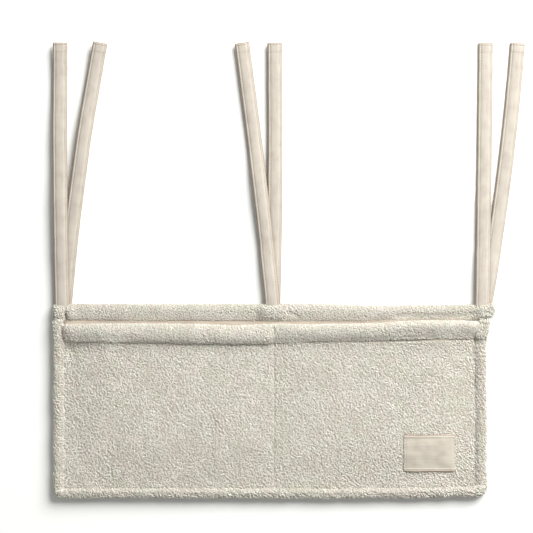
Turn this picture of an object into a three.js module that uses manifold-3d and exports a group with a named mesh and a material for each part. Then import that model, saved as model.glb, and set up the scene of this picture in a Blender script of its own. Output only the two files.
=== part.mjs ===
// A crib organizer: a wide panel of looped pile cloth with two pockets, tied to a crib rail by three pairs
// of straps. It lies flat on its back, with the straps laid out straight. Lengths are in millimetres.
// The origin is the middle of the back panel's rear face: +X to the right, +Y towards the straps and
// +Z out of the front.

import * as THREE from "three";
import { mergeVertices } from "three/addons/utils/BufferGeometryUtils.js";
import Module from "manifold-3d";

const wasm = await Module();
wasm.setup();

// Overall size of the panel
const panelWidth = 549;
const panelHeight = 248;
const cornerRadius = 9;
const cornerFlare = 10; // how far the top right corner is pulled outwards
const flareWidth = 95; // how far in from the right edge that pull reaches

// Cloths, and the gap between two cloths that lie on each other
const pileThickness = 2.6;
const bindingThickness = 2;
const bindingRearThickness = 1.4;
const liningThickness = 0.6;
const labelThickness = 0.8;
const clothGap = 0.3;
const edgeGap = 0.4; // between the cut edge of a cloth and the binding round it

// Edge bindings and top hem
const bindingWidth = 12;
const topHemHeight = 21.6;
const topHemTuck = 6.5; // how far the lining runs up behind the top hem
const topHemStep = 2; // over which the hem comes down past the lining's edge

// Pockets
const mouthDrop = 24.3; // from the panel's top edge down to the pocket mouth
const hemBandHeight = 27.3;
const hemBandBulge = 1.2;
const hemBandStep = 8; // over which the side bindings climb on to the hem band
const pocketGap = 7; // between the two linings in the middle of a pocket
const crownRun = 45; // from a seam to the full height of the pocket
const crownSteps = 6;
const dividerX = 4.5;
const dividerSeamWidth = 3;

// Straps
const tieWidth = 17.3;
const tieThickness = 1.4;
const tieRidgeWidth = 2;
const tieRidgeHeight = 0.25;
const tieReach = 330; // from the panel's top edge to the strap's tip
const tieStub = 20; // how far it stands up out of the hem before it folds
const tieFoldLength = 10.5;
const tieFoldHeight = 0.8;
const tieSettle = 50; // the length over which a strap comes down to the surface below it
const tieSteps = 10;
const leftTieInset = 10.5; // from the panel's left edge to the middle of the straps there
const rightTieInset = 4.6;
const centreTieOffset = -1.5; // from the divider
const foldGap = 0.3; // from the fold line to the cloth on each side of it
const hemTieMargin = 4; // how far the hem stays raised beside a pair of straps
const hemTieRun = 10;

// Threads
const threadWidth = 0.8;
const threadHeight = 0.4;
const seamInset = 3; // from a hem's edge to its seam
const tieSeamInset = 2.6;
const tackWidth = 11;
const tackHeight = 9;
const tackInset = 3.5; // from the panel's top edge to a tack

// Facets of the round edges
const foldFacets = 6;
const edgeFacets = 4;
const cornerFacets = 5;
const bulgeFacets = 5;

// Label
const labelWidth = 64.5;
const labelHeight = 47;
const labelFromRight = 40.5; // from the panel's right edge to the label
const labelFromBottom = 34.5;
const labelSeamInset = 1.6;

// How far the middle line of each strap lies to the side of its pair's root: at the panel's top edge
// (only for the strap that isn't at the root itself), halfway along and at the tip
const leftFrontMiddle = -3;
const leftFrontTip = -2.7;
const leftBackShift = 3.6;
const leftBackMiddle = 21.8;
const leftBackTip = 49;
const centreFrontMiddle = -17.7;
const centreFrontTip = -38.9;
const centreBackShift = 0.8;
const centreBackMiddle = 3.4;
const centreBackTip = 2.7;
const rightFrontMiddle = 2.8;
const rightFrontTip = 4.7;
const rightBackShift = 3;
const rightBackMiddle = 27.8;
const rightBackTip = 44.7;

// Each pair of straps. The front strap of a pair lies on the back one.
const tiePairs = [
  {
    side: "left",
    rootX: -panelWidth / 2 + leftTieInset,
    front: { shift: 0, middle: leftFrontMiddle, tip: leftFrontTip },
    back: { shift: leftBackShift, middle: leftBackMiddle, tip: leftBackTip },
  },
  {
    side: "centre",
    rootX: dividerX + centreTieOffset,
    front: { shift: 0, middle: centreFrontMiddle, tip: centreFrontTip },
    back: { shift: centreBackShift, middle: centreBackMiddle, tip: centreBackTip },
  },
  {
    side: "right",
    rootX: panelWidth / 2 - rightTieInset,
    front: { shift: 0, middle: rightFrontMiddle, tip: rightFrontTip },
    back: { shift: rightBackShift, middle: rightBackMiddle, tip: rightBackTip },
  },
];

// Materials
const pileCloth = { color: 0xcdc8bb, roughness: 0.95, metalness: 0 };
const bindingCloth = { color: 0xd2cdc1, roughness: 0.95, metalness: 0 };
const liningCloth = { color: 0xd9ceb9, roughness: 0.9, metalness: 0 };
const strapCloth = { color: 0xe6dcce, roughness: 0.85, metalness: 0 };
const labelCloth = { color: 0xdbd3c3, roughness: 0.85, metalness: 0 };
const thread = { color: 0xcfc3ae, roughness: 0.7, metalness: 0 };

// Places in the panel's plane
const topY = panelHeight / 2;
const bottomY = -panelHeight / 2;
const edgeX = panelWidth / 2;
const hemBottomY = topY - topHemHeight;
const mouthY = topY - mouthDrop;
const bandLowerY = mouthY - hemBandHeight;
const sideSeamX = edgeX - bindingWidth;
const bottomSeamY = bottomY + bindingWidth;
const clothEdgeX = edgeX - bindingThickness - edgeGap;
const clothBottomY = bottomY + bindingThickness + edgeGap;
const bindingTopY = hemBottomY - clothGap;
const liningTopY = hemBottomY + topHemTuck;
const tieRootY = liningTopY + clothGap;
const hingeY = topY + tieStub;
const tipY = topY + tieReach;

// Heights of the cloths at the seams, from the rear face up
const flangeBottomZ = bindingRearThickness + clothGap;
const liningBottomZ = pileThickness + clothGap;
const liningTopZ = liningBottomZ + liningThickness;
const pocketLiningZ = liningTopZ + clothGap;
const pocketZ = pocketLiningZ + liningThickness + clothGap;
const pocketTopZ = pocketZ + pileThickness;
const bandZ = pocketTopZ + clothGap;
const bandTopZ = bandZ + pileThickness;
const hemZ = liningTopZ + clothGap;
const hemTopZ = hemZ + pileThickness;
const bindingLegZ = pocketTopZ + clothGap;
const bindingTopZ = bindingLegZ + bindingThickness;
const bindingClimb = bandTopZ + hemBandBulge - pocketTopZ;
const crownHeight = pocketGap - clothGap;

// Heights of the straps
const strapHeight = tieThickness + tieRidgeHeight;
const backRootZ = pileThickness + clothGap;
const seamTopZ = tieThickness + clothGap + threadHeight;
const frontRootZ = backRootZ + Math.max(strapHeight, seamTopZ) + clothGap;
const hemTieLift = frontRootZ + strapHeight + clothGap - liningBottomZ;

// A soft step from 0 to 1, made of a few straight pieces, so that every cloth laid on it has the same
// facets.
function ramp(share) {
  const place = THREE.MathUtils.clamp(share, 0, 1) * crownSteps;
  const low = Math.min(Math.floor(place), crownSteps - 1);
  const from = THREE.MathUtils.smoothstep(low / crownSteps, 0, 1);
  const to = THREE.MathUtils.smoothstep((low + 1) / crownSteps, 0, 1);
  return THREE.MathUtils.lerp(from, to, place - low);
}

function spread(from, to, count) {
  return Array.from({ length: count + 1 }, (_, i) => THREE.MathUtils.lerp(from, to, i / count));
}

// The given stations between two ends, in order, with the ends, and none closer together than a hair.
const hair = 1e-3;

function between(from, to, stations) {
  const inner = stations.filter((s) => s > from + clothGap && s < to - clothGap).sort((a, b) => a - b);
  const spaced = inner.filter((s, i) => i === 0 || s - inner[i - 1] > hair);
  return [from, ...spaced, to];
}

const halfDivider = dividerSeamWidth / 2;
const flareX = edgeX - flareWidth;
const crownColumns = [
  ...spread(-sideSeamX, -sideSeamX + crownRun, crownSteps),
  ...spread(dividerX - halfDivider - crownRun, dividerX - halfDivider, crownSteps),
  ...spread(dividerX + halfDivider, dividerX + halfDivider + crownRun, crownSteps),
  ...spread(sideSeamX - crownRun, sideSeamX, crownSteps),
  flareX,
];
const crownRows = [...spread(bottomSeamY, bottomSeamY + crownRun, crownSteps), bandLowerY];

// How far the front of a pocket stands over the seams.
function crown(x, y) {
  const fromSide = sideSeamX - Math.abs(x);
  const fromDivider = Math.abs(x - dividerX) - halfDivider;
  const across = ramp(Math.min(fromSide, fromDivider) / crownRun);
  return crownHeight * across * ramp((y - bottomSeamY) / crownRun);
}

// How far the top right corner is pulled out.
function flare(x, y) {
  const outward = THREE.MathUtils.clamp((x - flareX) / flareWidth, 0, 1);
  const upward = THREE.MathUtils.clamp((y - bandLowerY) / (topY - bandLowerY), 0, 1);
  return cornerFlare * outward * upward;
}

function asDrawn(x, y, z) {
  return [x, y, z];
}

function onPanel(x, y, z) {
  return [x + flare(x, y), y, z];
}

function onPocket(x, y, z) {
  return onPanel(x, y, z + crown(x, y));
}

// How far the top hem is raised by the straps behind it.
function pairReach(pair) {
  const leftmost = Math.min(pair.front.shift, pair.back.shift) - tieWidth / 2 - hemTieMargin;
  const rightmost = Math.max(pair.front.shift, pair.back.shift) + tieWidth / 2 + hemTieMargin;
  return [pair.rootX + leftmost - flare(pair.rootX, topY), pair.rootX + rightmost];
}

function hemLift(x) {
  const shares = tiePairs.map((pair) => {
    const [from, to] = pairReach(pair);
    const beside = Math.max(from - x, x - to, 0);
    return ramp(1 - beside / hemTieRun);
  });
  return hemTieLift * Math.max(...shares);
}

const hemColumns = tiePairs.flatMap((pair) => {
  const [from, to] = pairReach(pair);
  return [...spread(from - hemTieRun, from, crownSteps), ...spread(to, to + hemTieRun, crownSteps)];
});

function onHem(x, y, z) {
  return onPanel(x, y, z + hemLift(x));
}

// An outline of [u, v] points drawn out through a row of stations. place turns u, v and a station into
// x, y and z.
function sweep(outline, stations, place) {
  const shape = new THREE.Shape(outline.map(([u, v]) => new THREE.Vector2(u, v)));
  const steps = stations.length - 1;
  const swept = new THREE.ExtrudeGeometry(shape, { depth: steps, steps, bevelEnabled: false });
  swept.deleteAttribute("normal");
  swept.deleteAttribute("uv");
  const geometry = mergeVertices(swept);
  const position = geometry.getAttribute("position");
  for (let i = 0; i < position.count; i += 1) {
    const station = stations[Math.round(position.getZ(i))];
    position.setXYZ(i, ...place(position.getX(i), position.getY(i), station));
  }
  return geometry;
}

// An outline in y and z, drawn out along x.
function alongX(outline, columns, place) {
  return sweep(outline, columns, (y, z, x) => place(x, y, z));
}

// An outline in x and z, drawn out along y. The rows are taken downwards, which keeps the faces outwards.
function alongY(outline, rows, place) {
  return sweep(outline, [...rows].reverse(), (x, z, y) => place(x, y, z));
}

function arc(u, v, radius, from, to, steps) {
  return spread(from, to, steps).map((turn) => [u + radius * Math.cos(turn), v + radius * Math.sin(turn)]);
}

function bar(from, to, bottom, thickness) {
  return [
    [from, bottom],
    [to, bottom],
    [to, bottom + thickness],
    [from, bottom + thickness],
  ];
}

// A flat cloth with a point wherever a column and a row cross, on both of its faces.
function sheet(columns, rows, bottom, thickness, place) {
  const across = columns.length - 1;
  const upright = rows.length - 1;
  const box = new THREE.BoxGeometry(across, upright, 1, across, upright, 1);
  box.deleteAttribute("normal");
  box.deleteAttribute("uv");
  const geometry = mergeVertices(box);
  const position = geometry.getAttribute("position");
  for (let i = 0; i < position.count; i += 1) {
    const x = columns[Math.round(position.getX(i) + across / 2)];
    const y = rows[Math.round(position.getY(i) + upright / 2)];
    const z = position.getZ(i) > 0 ? bottom + thickness : bottom;
    position.setXYZ(i, ...place(x, y, z));
  }
  return geometry;
}

function solid(geometry) {
  const vertices = geometry.getAttribute("position").array;
  const triangles = new Uint32Array(geometry.getIndex().array);
  return new wasm.Manifold(new wasm.Mesh({ numProp: 3, vertProperties: vertices, triVerts: triangles }));
}

function geometryOf(made) {
  const mesh = made.getMesh();
  const geometry = new THREE.BufferGeometry();
  geometry.setAttribute("position", new THREE.BufferAttribute(mesh.vertProperties, mesh.numProp));
  geometry.setIndex(new THREE.BufferAttribute(mesh.triVerts, 1));
  return geometry;
}

function joined(geometries) {
  return geometryOf(geometries.map(solid).reduce((whole, next) => whole.add(next)));
}

function piece(name, geometry, finish, group) {
  geometry.computeVertexNormals();
  const mesh = new THREE.Mesh(geometry, new THREE.MeshStandardMaterial(finish));
  mesh.name = name;
  group.add(mesh);
}

// The back panel is thinner where the bindings wrap round it, so its rear face stays flat.
function backPanel() {
  const rows = between(bottomY, topY, [bandLowerY]);
  const columns = between(-edgeX, edgeX, [flareX]);
  const cloth = solid(sheet(columns, rows, 0, pileThickness, onPanel));
  const clear = bindingWidth;
  const cutRows = between(bottomY - clear, bindingTopY + clothGap, [bandLowerY]);
  const sideCut = (from, to, top) => solid(alongY(bar(from, to, -clear, top + clear), cutRows, onPanel));
  const bottomCut = (upTo, top) => {
    const outline = bar(bottomY - clear, upTo, -clear, top + clear);
    return solid(alongX(outline, [-edgeX - clear, edgeX + clear], asDrawn));
  };
  const rearInset = sideSeamX - clothGap;
  return geometryOf(
    cloth
      .subtract(sideCut(clothEdgeX, edgeX + clear, clear))
      .subtract(sideCut(-edgeX - clear, -clothEdgeX, clear))
      .subtract(sideCut(rearInset, edgeX + clear, flangeBottomZ))
      .subtract(sideCut(-edgeX - clear, -rearInset, flangeBottomZ))
      .subtract(bottomCut(clothBottomY, clear))
      .subtract(bottomCut(bottomSeamY + clothGap, flangeBottomZ)),
  );
}

function backLining() {
  const rows = between(clothBottomY, liningTopY, [bandLowerY]);
  const columns = between(-clothEdgeX, clothEdgeX, [flareX]);
  return sheet(columns, rows, liningBottomZ, liningThickness, onPanel);
}

// The top hem comes down past the edge of the lining, and rises over each pair of straps.
function topHem() {
  const round = pileThickness / 2;
  const lipDrop = hemZ - liningBottomZ;
  const lipY = liningTopY + topHemStep;
  const outline = [
    ...arc(hemBottomY + round, hemZ + round, round, Math.PI / 2, (3 * Math.PI) / 2, edgeFacets),
    [lipY - topHemStep + clothGap, hemZ],
    [lipY, hemZ - lipDrop],
    ...arc(topY - round, hemZ - lipDrop + round, round, -Math.PI / 2, 0, edgeFacets / 2),
    ...arc(topY - round, hemTopZ - round, round, 0, Math.PI / 2, edgeFacets / 2),
  ];
  return alongX(outline, between(-edgeX, edgeX, [...hemColumns, flareX]), onHem);
}

// The pocket front goes up to the mouth, folds outwards and comes down again as the hem band.
const foldRadius = (bandTopZ - pocketZ) / 2;
const foldY = mouthY - foldRadius;
const pocketColumns = between(-clothEdgeX, clothEdgeX, crownColumns);

function pocketFront() {
  const round = pileThickness / 2;
  const slotRadius = clothGap / 2;
  const bulgeRows = spread(foldY, bandLowerY + round, bulgeFacets).slice(1, -1);
  const bulge = (y) => hemBandBulge * Math.sin((Math.PI * (y - bandLowerY)) / (foldY - bandLowerY));
  const fold = [
    [bandLowerY, pocketZ],
    ...arc(foldY, pocketZ + foldRadius, foldRadius, -Math.PI / 2, Math.PI / 2, foldFacets),
    ...bulgeRows.map((y) => [y, bandTopZ + bulge(y)]),
    ...arc(bandLowerY + round, bandZ + round, round, Math.PI / 2, (3 * Math.PI) / 2, edgeFacets),
    ...arc(foldY, pocketTopZ + slotRadius, slotRadius, Math.PI / 2, -Math.PI / 2, edgeFacets / 2),
    [bandLowerY, pocketTopZ],
  ];
  const rows = between(clothBottomY, bandLowerY, crownRows);
  return joined([
    sheet(pocketColumns, rows, pocketZ, pileThickness, onPocket),
    alongX(fold, pocketColumns, onPocket),
  ]);
}

function pocketLining() {
  const rows = between(clothBottomY, foldY, crownRows);
  return sheet(pocketColumns, rows, pocketLiningZ, liningThickness, onPocket);
}

// A binding in section: a rear leg under the back panel, a wall round the cut edges and a front leg.
// inner and outer are its two edges, and outer may be on either side.
function bindingOutline(inner, outer) {
  const out = Math.sign(outer - inner);
  const round = bindingThickness / 2;
  const wall = outer - out * bindingThickness;
  return [
    [inner, 0],
    [outer - out * round, 0],
    [outer, round],
    [outer, bindingTopZ - round],
    [outer - out * round * (1 - Math.SQRT1_2), bindingTopZ - round * (1 - Math.SQRT1_2)],
    [outer - out * round, bindingTopZ],
    [inner + out * round, bindingTopZ],
    [inner + out * round * (1 - Math.SQRT1_2), bindingTopZ - round * (1 - Math.SQRT1_2)],
    [inner, bindingTopZ - round],
    [inner, bindingLegZ],
    [wall, bindingLegZ],
    [wall, bindingRearThickness],
    [inner, bindingRearThickness],
  ];
}

// The side bindings climb over the ends of the hem band.
function sideClimb(y) {
  return bindingClimb * ramp((y - bandLowerY + hemBandStep + clothGap) / hemBandStep);
}

const climbRows = spread(bandLowerY - hemBandStep - clothGap, bandLowerY - clothGap, crownSteps);

function sideBinding(out) {
  const rows = between(bottomSeamY + clothGap, bindingTopY, [...climbRows, bandLowerY]);
  return alongY(bindingOutline(out * sideSeamX, out * edgeX), rows, (x, y, z) =>
    onPanel(x, y, z < pocketZ ? z : z + sideClimb(y)),
  );
}

function bottomBinding() {
  const strip = solid(alongX(bindingOutline(bottomSeamY, bottomY), [-edgeX, edgeX], asDrawn));
  const reach = bindingTopZ + cornerRadius;
  const inset = edgeX - cornerRadius;
  const low = bottomY + cornerRadius;
  const rounded = [
    ...arc(-inset, low, cornerRadius, Math.PI, 1.5 * Math.PI, cornerFacets),
    ...arc(inset, low, cornerRadius, 1.5 * Math.PI, 2 * Math.PI, cornerFacets),
    [edgeX, topY],
    [-edgeX, topY],
  ];
  const corners = solid(sweep(rounded, [-reach, reach], asDrawn));
  return geometryOf(strip.intersect(corners));
}

function threadOutline(middle, bottom) {
  return bar(middle - threadWidth / 2, middle + threadWidth / 2, bottom, threadHeight);
}

// A seam across the pocket front: it follows the hem band where it crosses it.
const bandSeamY = bandLowerY + seamInset;
const bandSeamZ = bandTopZ + hemBandBulge + clothGap;

function dividerStitching() {
  const rows = between(bottomSeamY + clothGap, mouthY - pileThickness, [...crownRows, ...climbRows]);
  const over = bandSeamZ + threadHeight + clothGap;
  const climb = (y) => (over - bindingLegZ) * ramp((y - bandLowerY + hemBandStep + clothGap) / hemBandStep);
  return alongY(threadOutline(dividerX, bindingLegZ), rows, (x, y, z) => onPanel(x, y, z + climb(y)));
}

function pocketHemStitching() {
  const reach = sideSeamX - clothGap;
  return alongX(threadOutline(bandSeamY, bandSeamZ), between(-reach, reach, crownColumns), onPocket);
}

function topHemStitching() {
  const columns = between(-edgeX + seamInset, edgeX - seamInset, [...hemColumns, flareX]);
  return alongX(threadOutline(hemBottomY + seamInset, hemTopZ + clothGap), columns, onHem);
}

function sideStitching(out) {
  const rows = between(bottomSeamY + clothGap, bindingTopY - seamInset, [...climbRows, bandLowerY]);
  const seam = threadOutline(out * (sideSeamX + seamInset), bindingTopZ + clothGap);
  return alongY(seam, rows, (x, y, z) => onPanel(x, y, z + sideClimb(y)));
}

function bottomStitching() {
  const reach = edgeX - bindingWidth;
  return alongX(threadOutline(bottomSeamY - seamInset, bindingTopZ + clothGap), [-reach, reach], onPanel);
}

// The label lies on the right pocket.
const labelRight = edgeX - labelFromRight;
const labelLeft = labelRight - labelWidth;
const labelLow = bottomY + labelFromBottom;
const labelHigh = labelLow + labelHeight;

function label() {
  const rows = between(labelLow, labelHigh, crownRows);
  const columns = between(labelLeft, labelRight, crownColumns);
  return sheet(columns, rows, pocketTopZ + clothGap, labelThickness, onPocket);
}

// A closed frame of thread. The strips overlap at the corners and are joined there.
function threadFrame([left, right], [low, high], bottom, columns, rows, place) {
  const half = threadWidth / 2;
  const across = between(left - half, right + half, [left + half, right - half, ...columns]);
  const upright = between(low - half, high + half, [low + half, high - half, ...rows]);
  return joined([
    alongX(threadOutline(low, bottom), across, place),
    alongX(threadOutline(high, bottom), across, place),
    alongY(threadOutline(left, bottom), upright, place),
    alongY(threadOutline(right, bottom), upright, place),
  ]);
}

function labelStitching() {
  const wide = [labelLeft + labelSeamInset, labelRight - labelSeamInset];
  const tall = [labelLow + labelSeamInset, labelHigh - labelSeamInset];
  const bottom = pocketTopZ + clothGap + labelThickness + clothGap;
  return threadFrame(wide, tall, bottom, crownColumns, crownRows, onPocket);
}

function tieTack(pair) {
  const middle = pair.rootX + (pair.front.shift + pair.back.shift) / 2 - flare(pair.rootX, topY);
  const wide = [middle - tackWidth / 2, middle + tackWidth / 2];
  const tall = [topY - tackInset - tackHeight, topY - tackInset];
  return threadFrame(wide, tall, hemTopZ + clothGap, hemColumns, [], onHem);
}

// The middle line of a strap: a parabola through its root, its middle and its tip.
function leanAt(lean, y) {
  const t = Math.max(0, (y - topY) / tieReach);
  const bend = 2 * lean.tip - 4 * lean.middle + 2 * lean.shift;
  const slope = 4 * lean.middle - 3 * lean.shift - lean.tip;
  return lean.shift + slope * t + bend * t * t;
}

// Where the two straps of a pair stop lying on each other.
function partingY(pair) {
  const apart = (y) => Math.abs(leanAt(pair.back, y) - leanAt(pair.front, y)) > tieWidth + tieRidgeWidth;
  return spread(hingeY, tipY - tieSettle, tieReach).find(apart) ?? tipY - tieSettle;
}

const freeY = hingeY + foldGap;

function tieRows(pair) {
  const parting = partingY(pair);
  return [
    ...spread(freeY, freeY + tieSettle, crownSteps),
    ...spread(parting, parting + tieSettle, crownSteps),
    ...spread(freeY + tieSettle, tipY - tieFoldLength - tieRidgeWidth, tieSteps),
    tipY - tieFoldLength,
  ];
}

// How high the underside of a strap lies at y: down from the hem, and off the back strap once they part.
function tieBottomZ(pair, layer, y) {
  const landed = ramp((y - freeY) / tieSettle);
  const under = backRootZ * (1 - landed);
  if (layer === "back") {
    return under;
  }
  return under + (frontRootZ - backRootZ) * (1 - ramp((y - partingY(pair)) / tieSettle));
}

function tieOutline() {
  const half = tieWidth / 2;
  const ridge = half - tieRidgeWidth;
  return [
    [-half, 0],
    [half, 0],
    [half, strapHeight],
    [ridge, strapHeight],
    [ridge - tieRidgeHeight, tieThickness],
    [tieRidgeHeight - ridge, tieThickness],
    [-ridge, strapHeight],
    [-half, strapHeight],
  ];
}

function onTie(pair, layer, x, y, z) {
  const folded = z > 0 && y > tipY - tieFoldLength - clothGap ? tieFoldHeight : 0;
  const middle = pair.rootX + leanAt(pair[layer], y);
  return [middle + x, y, tieBottomZ(pair, layer, y) + z + folded];
}

function tieRoot(pair, layer) {
  const rows = [tieRootY, topY, hingeY - foldGap];
  const bottom = layer === "back" ? backRootZ : frontRootZ;
  const middle = (y) => pair.rootX + leanAt(pair[layer], y);
  return alongY(tieOutline(), rows, (x, y, z) => [middle(y) + x, y, bottom + z]);
}

function tieFree(pair, layer) {
  const rows = between(freeY, tipY, tieRows(pair));
  return alongY(tieOutline(), rows, (x, y, z) => onTie(pair, layer, x, y, z));
}

// One thread runs up one edge of a strap, across the fold at its tip and down the other edge.
function tieStitching(pair, layer) {
  const half = tieWidth / 2 - tieSeamInset;
  const crossY = tipY - tieSeamInset;
  const crossRows = [crossY - threadWidth / 2, crossY + threadWidth / 2];
  const rows = between(freeY + seamInset, crossRows[1], [...tieRows(pair), crossRows[0]]);
  const place = (x, y, z) => onTie(pair, layer, x, y, z);
  const bottom = tieThickness + clothGap;
  const across = bar(-half - threadWidth / 2, half + threadWidth / 2, bottom, threadHeight);
  return joined([
    alongY(threadOutline(-half, bottom), rows, place),
    alongY(threadOutline(half, bottom), rows, place),
    alongY(across, crossRows, place),
  ]);
}

const organizer = new THREE.Group();

const panel = new THREE.Group();
organizer.add(panel);
piece("back_panel", backPanel(), pileCloth, panel);
piece("back_lining", backLining(), liningCloth, panel);
piece("top_hem", topHem(), pileCloth, panel);
piece("top_hem_stitching", topHemStitching(), thread, panel);
piece("left_edge_binding", sideBinding(-1), bindingCloth, panel);
piece("right_edge_binding", sideBinding(1), bindingCloth, panel);
piece("bottom_edge_binding", bottomBinding(), bindingCloth, panel);
piece("left_edge_stitching", sideStitching(-1), thread, panel);
piece("right_edge_stitching", sideStitching(1), thread, panel);
piece("bottom_edge_stitching", bottomStitching(), thread, panel);

const pockets = new THREE.Group();
panel.add(pockets);
piece("pocket_front", pocketFront(), pileCloth, pockets);
piece("pocket_lining", pocketLining(), liningCloth, pockets);
piece("pocket_hem_stitching", pocketHemStitching(), thread, pockets);
piece("divider_stitching", dividerStitching(), thread, pockets);
piece("label", label(), labelCloth, pockets);
piece("label_stitching", labelStitching(), thread, pockets);

// Each free strap hangs in a group whose origin is on its fold line: the front straps fold about their
// front face and the back straps about their back face.
for (const pair of tiePairs) {
  const straps = new THREE.Group();
  organizer.add(straps);
  piece(`${pair.side}_tie_tack`, tieTack(pair), thread, straps);
  for (const layer of ["front", "back"]) {
    const foldZ = layer === "front" ? frontRootZ + strapHeight : backRootZ;
    const foldX = pair.rootX + leanAt(pair[layer], hingeY);
    const fold = new THREE.Group();
    fold.position.set(foldX, hingeY, foldZ);
    straps.add(fold);
    const strap = tieFree(pair, layer).translate(-foldX, -hingeY, -foldZ);
    const seam = tieStitching(pair, layer).translate(-foldX, -hingeY, -foldZ);
    piece(`${layer}_tie_root_${pair.side}`, tieRoot(pair, layer), strapCloth, straps);
    piece(`${layer}_tie_${pair.side}`, strap, strapCloth, fold);
    piece(`${layer}_tie_stitching_${pair.side}`, seam, thread, fold);
  }
}

export default organizer;
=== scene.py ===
# %% [markdown]
# # A crib organizer in looped pile cloth
# The real object is sewn from four cloths: a thick cream boucle, whose yarn stands up in small loops, a thin
# cotton lining, cotton straps and a woven label. It lies flat on its back, seen from straight above.
# A flat thing lives from its surface, so most of this lesson is about cloth: how it folds, where a seam
# pulls it down, and how thousands of loops of yarn can be laid over it.

# %% Load the fixed frame
import math

import bmesh
import bpy
import numpy as np
from mathutils import Matrix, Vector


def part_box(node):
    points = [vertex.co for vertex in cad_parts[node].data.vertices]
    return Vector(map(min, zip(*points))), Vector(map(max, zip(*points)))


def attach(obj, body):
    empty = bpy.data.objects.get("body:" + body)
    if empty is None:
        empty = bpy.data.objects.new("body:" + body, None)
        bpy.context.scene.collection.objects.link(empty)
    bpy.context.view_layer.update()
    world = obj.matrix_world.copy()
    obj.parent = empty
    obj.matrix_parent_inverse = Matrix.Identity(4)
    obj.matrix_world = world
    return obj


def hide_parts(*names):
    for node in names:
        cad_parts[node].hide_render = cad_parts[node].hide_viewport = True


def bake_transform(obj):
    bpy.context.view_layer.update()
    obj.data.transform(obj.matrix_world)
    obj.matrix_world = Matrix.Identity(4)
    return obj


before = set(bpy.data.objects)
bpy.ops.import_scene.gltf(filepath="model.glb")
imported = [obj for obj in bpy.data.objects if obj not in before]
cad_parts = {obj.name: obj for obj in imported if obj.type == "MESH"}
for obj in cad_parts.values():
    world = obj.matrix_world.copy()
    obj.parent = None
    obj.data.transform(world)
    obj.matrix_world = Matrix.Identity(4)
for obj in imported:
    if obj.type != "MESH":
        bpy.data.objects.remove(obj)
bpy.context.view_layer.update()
mm = 0.001
tiny = 1e-6
print("solids in the frame:", len(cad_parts))

# %% [markdown]
# ## The camera
# The photograph was taken from straight above with a long lens, so nothing in it leans. A camera that isn't
# turned looks straight down with +Y up, and its height and lens are chosen to make one pixel 1.27 mm wide
# on the table.

# %% Camera
photo_pixels = 533
pixel_width = 1.27 * mm
picture_centre = (-4.4 * mm, 170.2 * mm)
camera_height = 3.2

camera_data = bpy.data.cameras.new("studio_camera")
camera_data.lens = camera_data.sensor_width * camera_height / (photo_pixels * pixel_width)
camera = bpy.data.objects.new("studio_camera", camera_data)
camera.location = (*picture_centre, camera_height)
bpy.context.scene.collection.objects.link(camera)
bpy.context.scene.camera = camera
print("lens of", round(camera_data.lens), "mm")


# %% [markdown]
# ## Where the cloths lie
# All places come from the solids of the frame. The drawing is done in millimetres, and each mesh is scaled
# to metres when it is finished.

# %% Places read from the frame
def corners(node):
    """The lowest and highest corner of a solid, in millimetres."""
    low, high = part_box(node)
    return np.array(low) / mm, np.array(high) / mm


left_edge_low, left_edge_high = corners("left_edge_binding")
bottom_edge_low = corners("bottom_edge_binding")[0]
hem_low, hem_high = corners("top_hem")
pocket_low, pocket_high = corners("pocket_front")
half_width = -left_edge_low[0]
seam_x = -left_edge_high[0]
binding_width = half_width - seam_x
cloth_margin = 2.4
cloth_x = half_width - cloth_margin
top_y = hem_high[1]
bottom_y = bottom_edge_low[1]
bottom_seam_y = bottom_y + binding_width
cloth_bottom_y = pocket_low[1]
mouth_y = pocket_high[1]
hem_edge_y = hem_low[1]
band_height = 27.3
band_edge_y = mouth_y - band_height
divider_x = sum(corner[0] for corner in corners("divider_stitching")) / 2
corner_flare = hem_high[0] - half_width
print("panel", 2 * half_width, "by", top_y - bottom_y, "mm, pocket mouth at", round(mouth_y, 1))


# %% [markdown]
# ## Curves and unevenness
# Sewn cloth is never quite straight. A smooth curve through a few given points gives the slow waves of each
# edge, and a small noise, made from a table of random numbers with a fixed seed, gives the rest.

# %% Curves and noise
def smooth(share):
    """A soft step: 0 up to a share of 0, and 1 from a share of 1 on."""
    share = np.clip(share, 0, 1)
    return share * share * (3 - 2 * share)


def ramp(value, zero_at, one_at):
    """A soft step between two places, in either direction."""
    return smooth((value - zero_at) / (one_at - zero_at))


def through(points):
    """A smooth curve through a few points, level past its ends."""
    xs, ys = np.array(points, float).T
    slopes = np.gradient(ys, xs)

    def curve(x):
        x = np.clip(x, xs[0], xs[-1])
        i = np.clip(np.searchsorted(xs, x) - 1, 0, len(xs) - 2)
        width = xs[i + 1] - xs[i]
        t = (x - xs[i]) / width
        start = ys[i] * (1 + 2 * t) + slopes[i] * width * t
        end = ys[i + 1] * (3 - 2 * t) - slopes[i + 1] * width * (1 - t)
        return start * (1 - t) ** 2 + end * t**2

    return curve


def along_path(points):
    """A path through points in a plane: its length, and its two places by the length along it."""
    points = np.array(points, float)
    lengths = np.concatenate([[0], np.cumsum(np.linalg.norm(np.diff(points, axis=0), axis=1))])
    first = through(np.column_stack([lengths, points[:, 0]]))
    second = through(np.column_stack([lengths, points[:, 1]]))
    return lengths[-1], first, second


noise_size = 128
noise_start = (40.3, 17.9)
noise_table = np.random.default_rng(3).uniform(-1, 1, (noise_size, noise_size))


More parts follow.
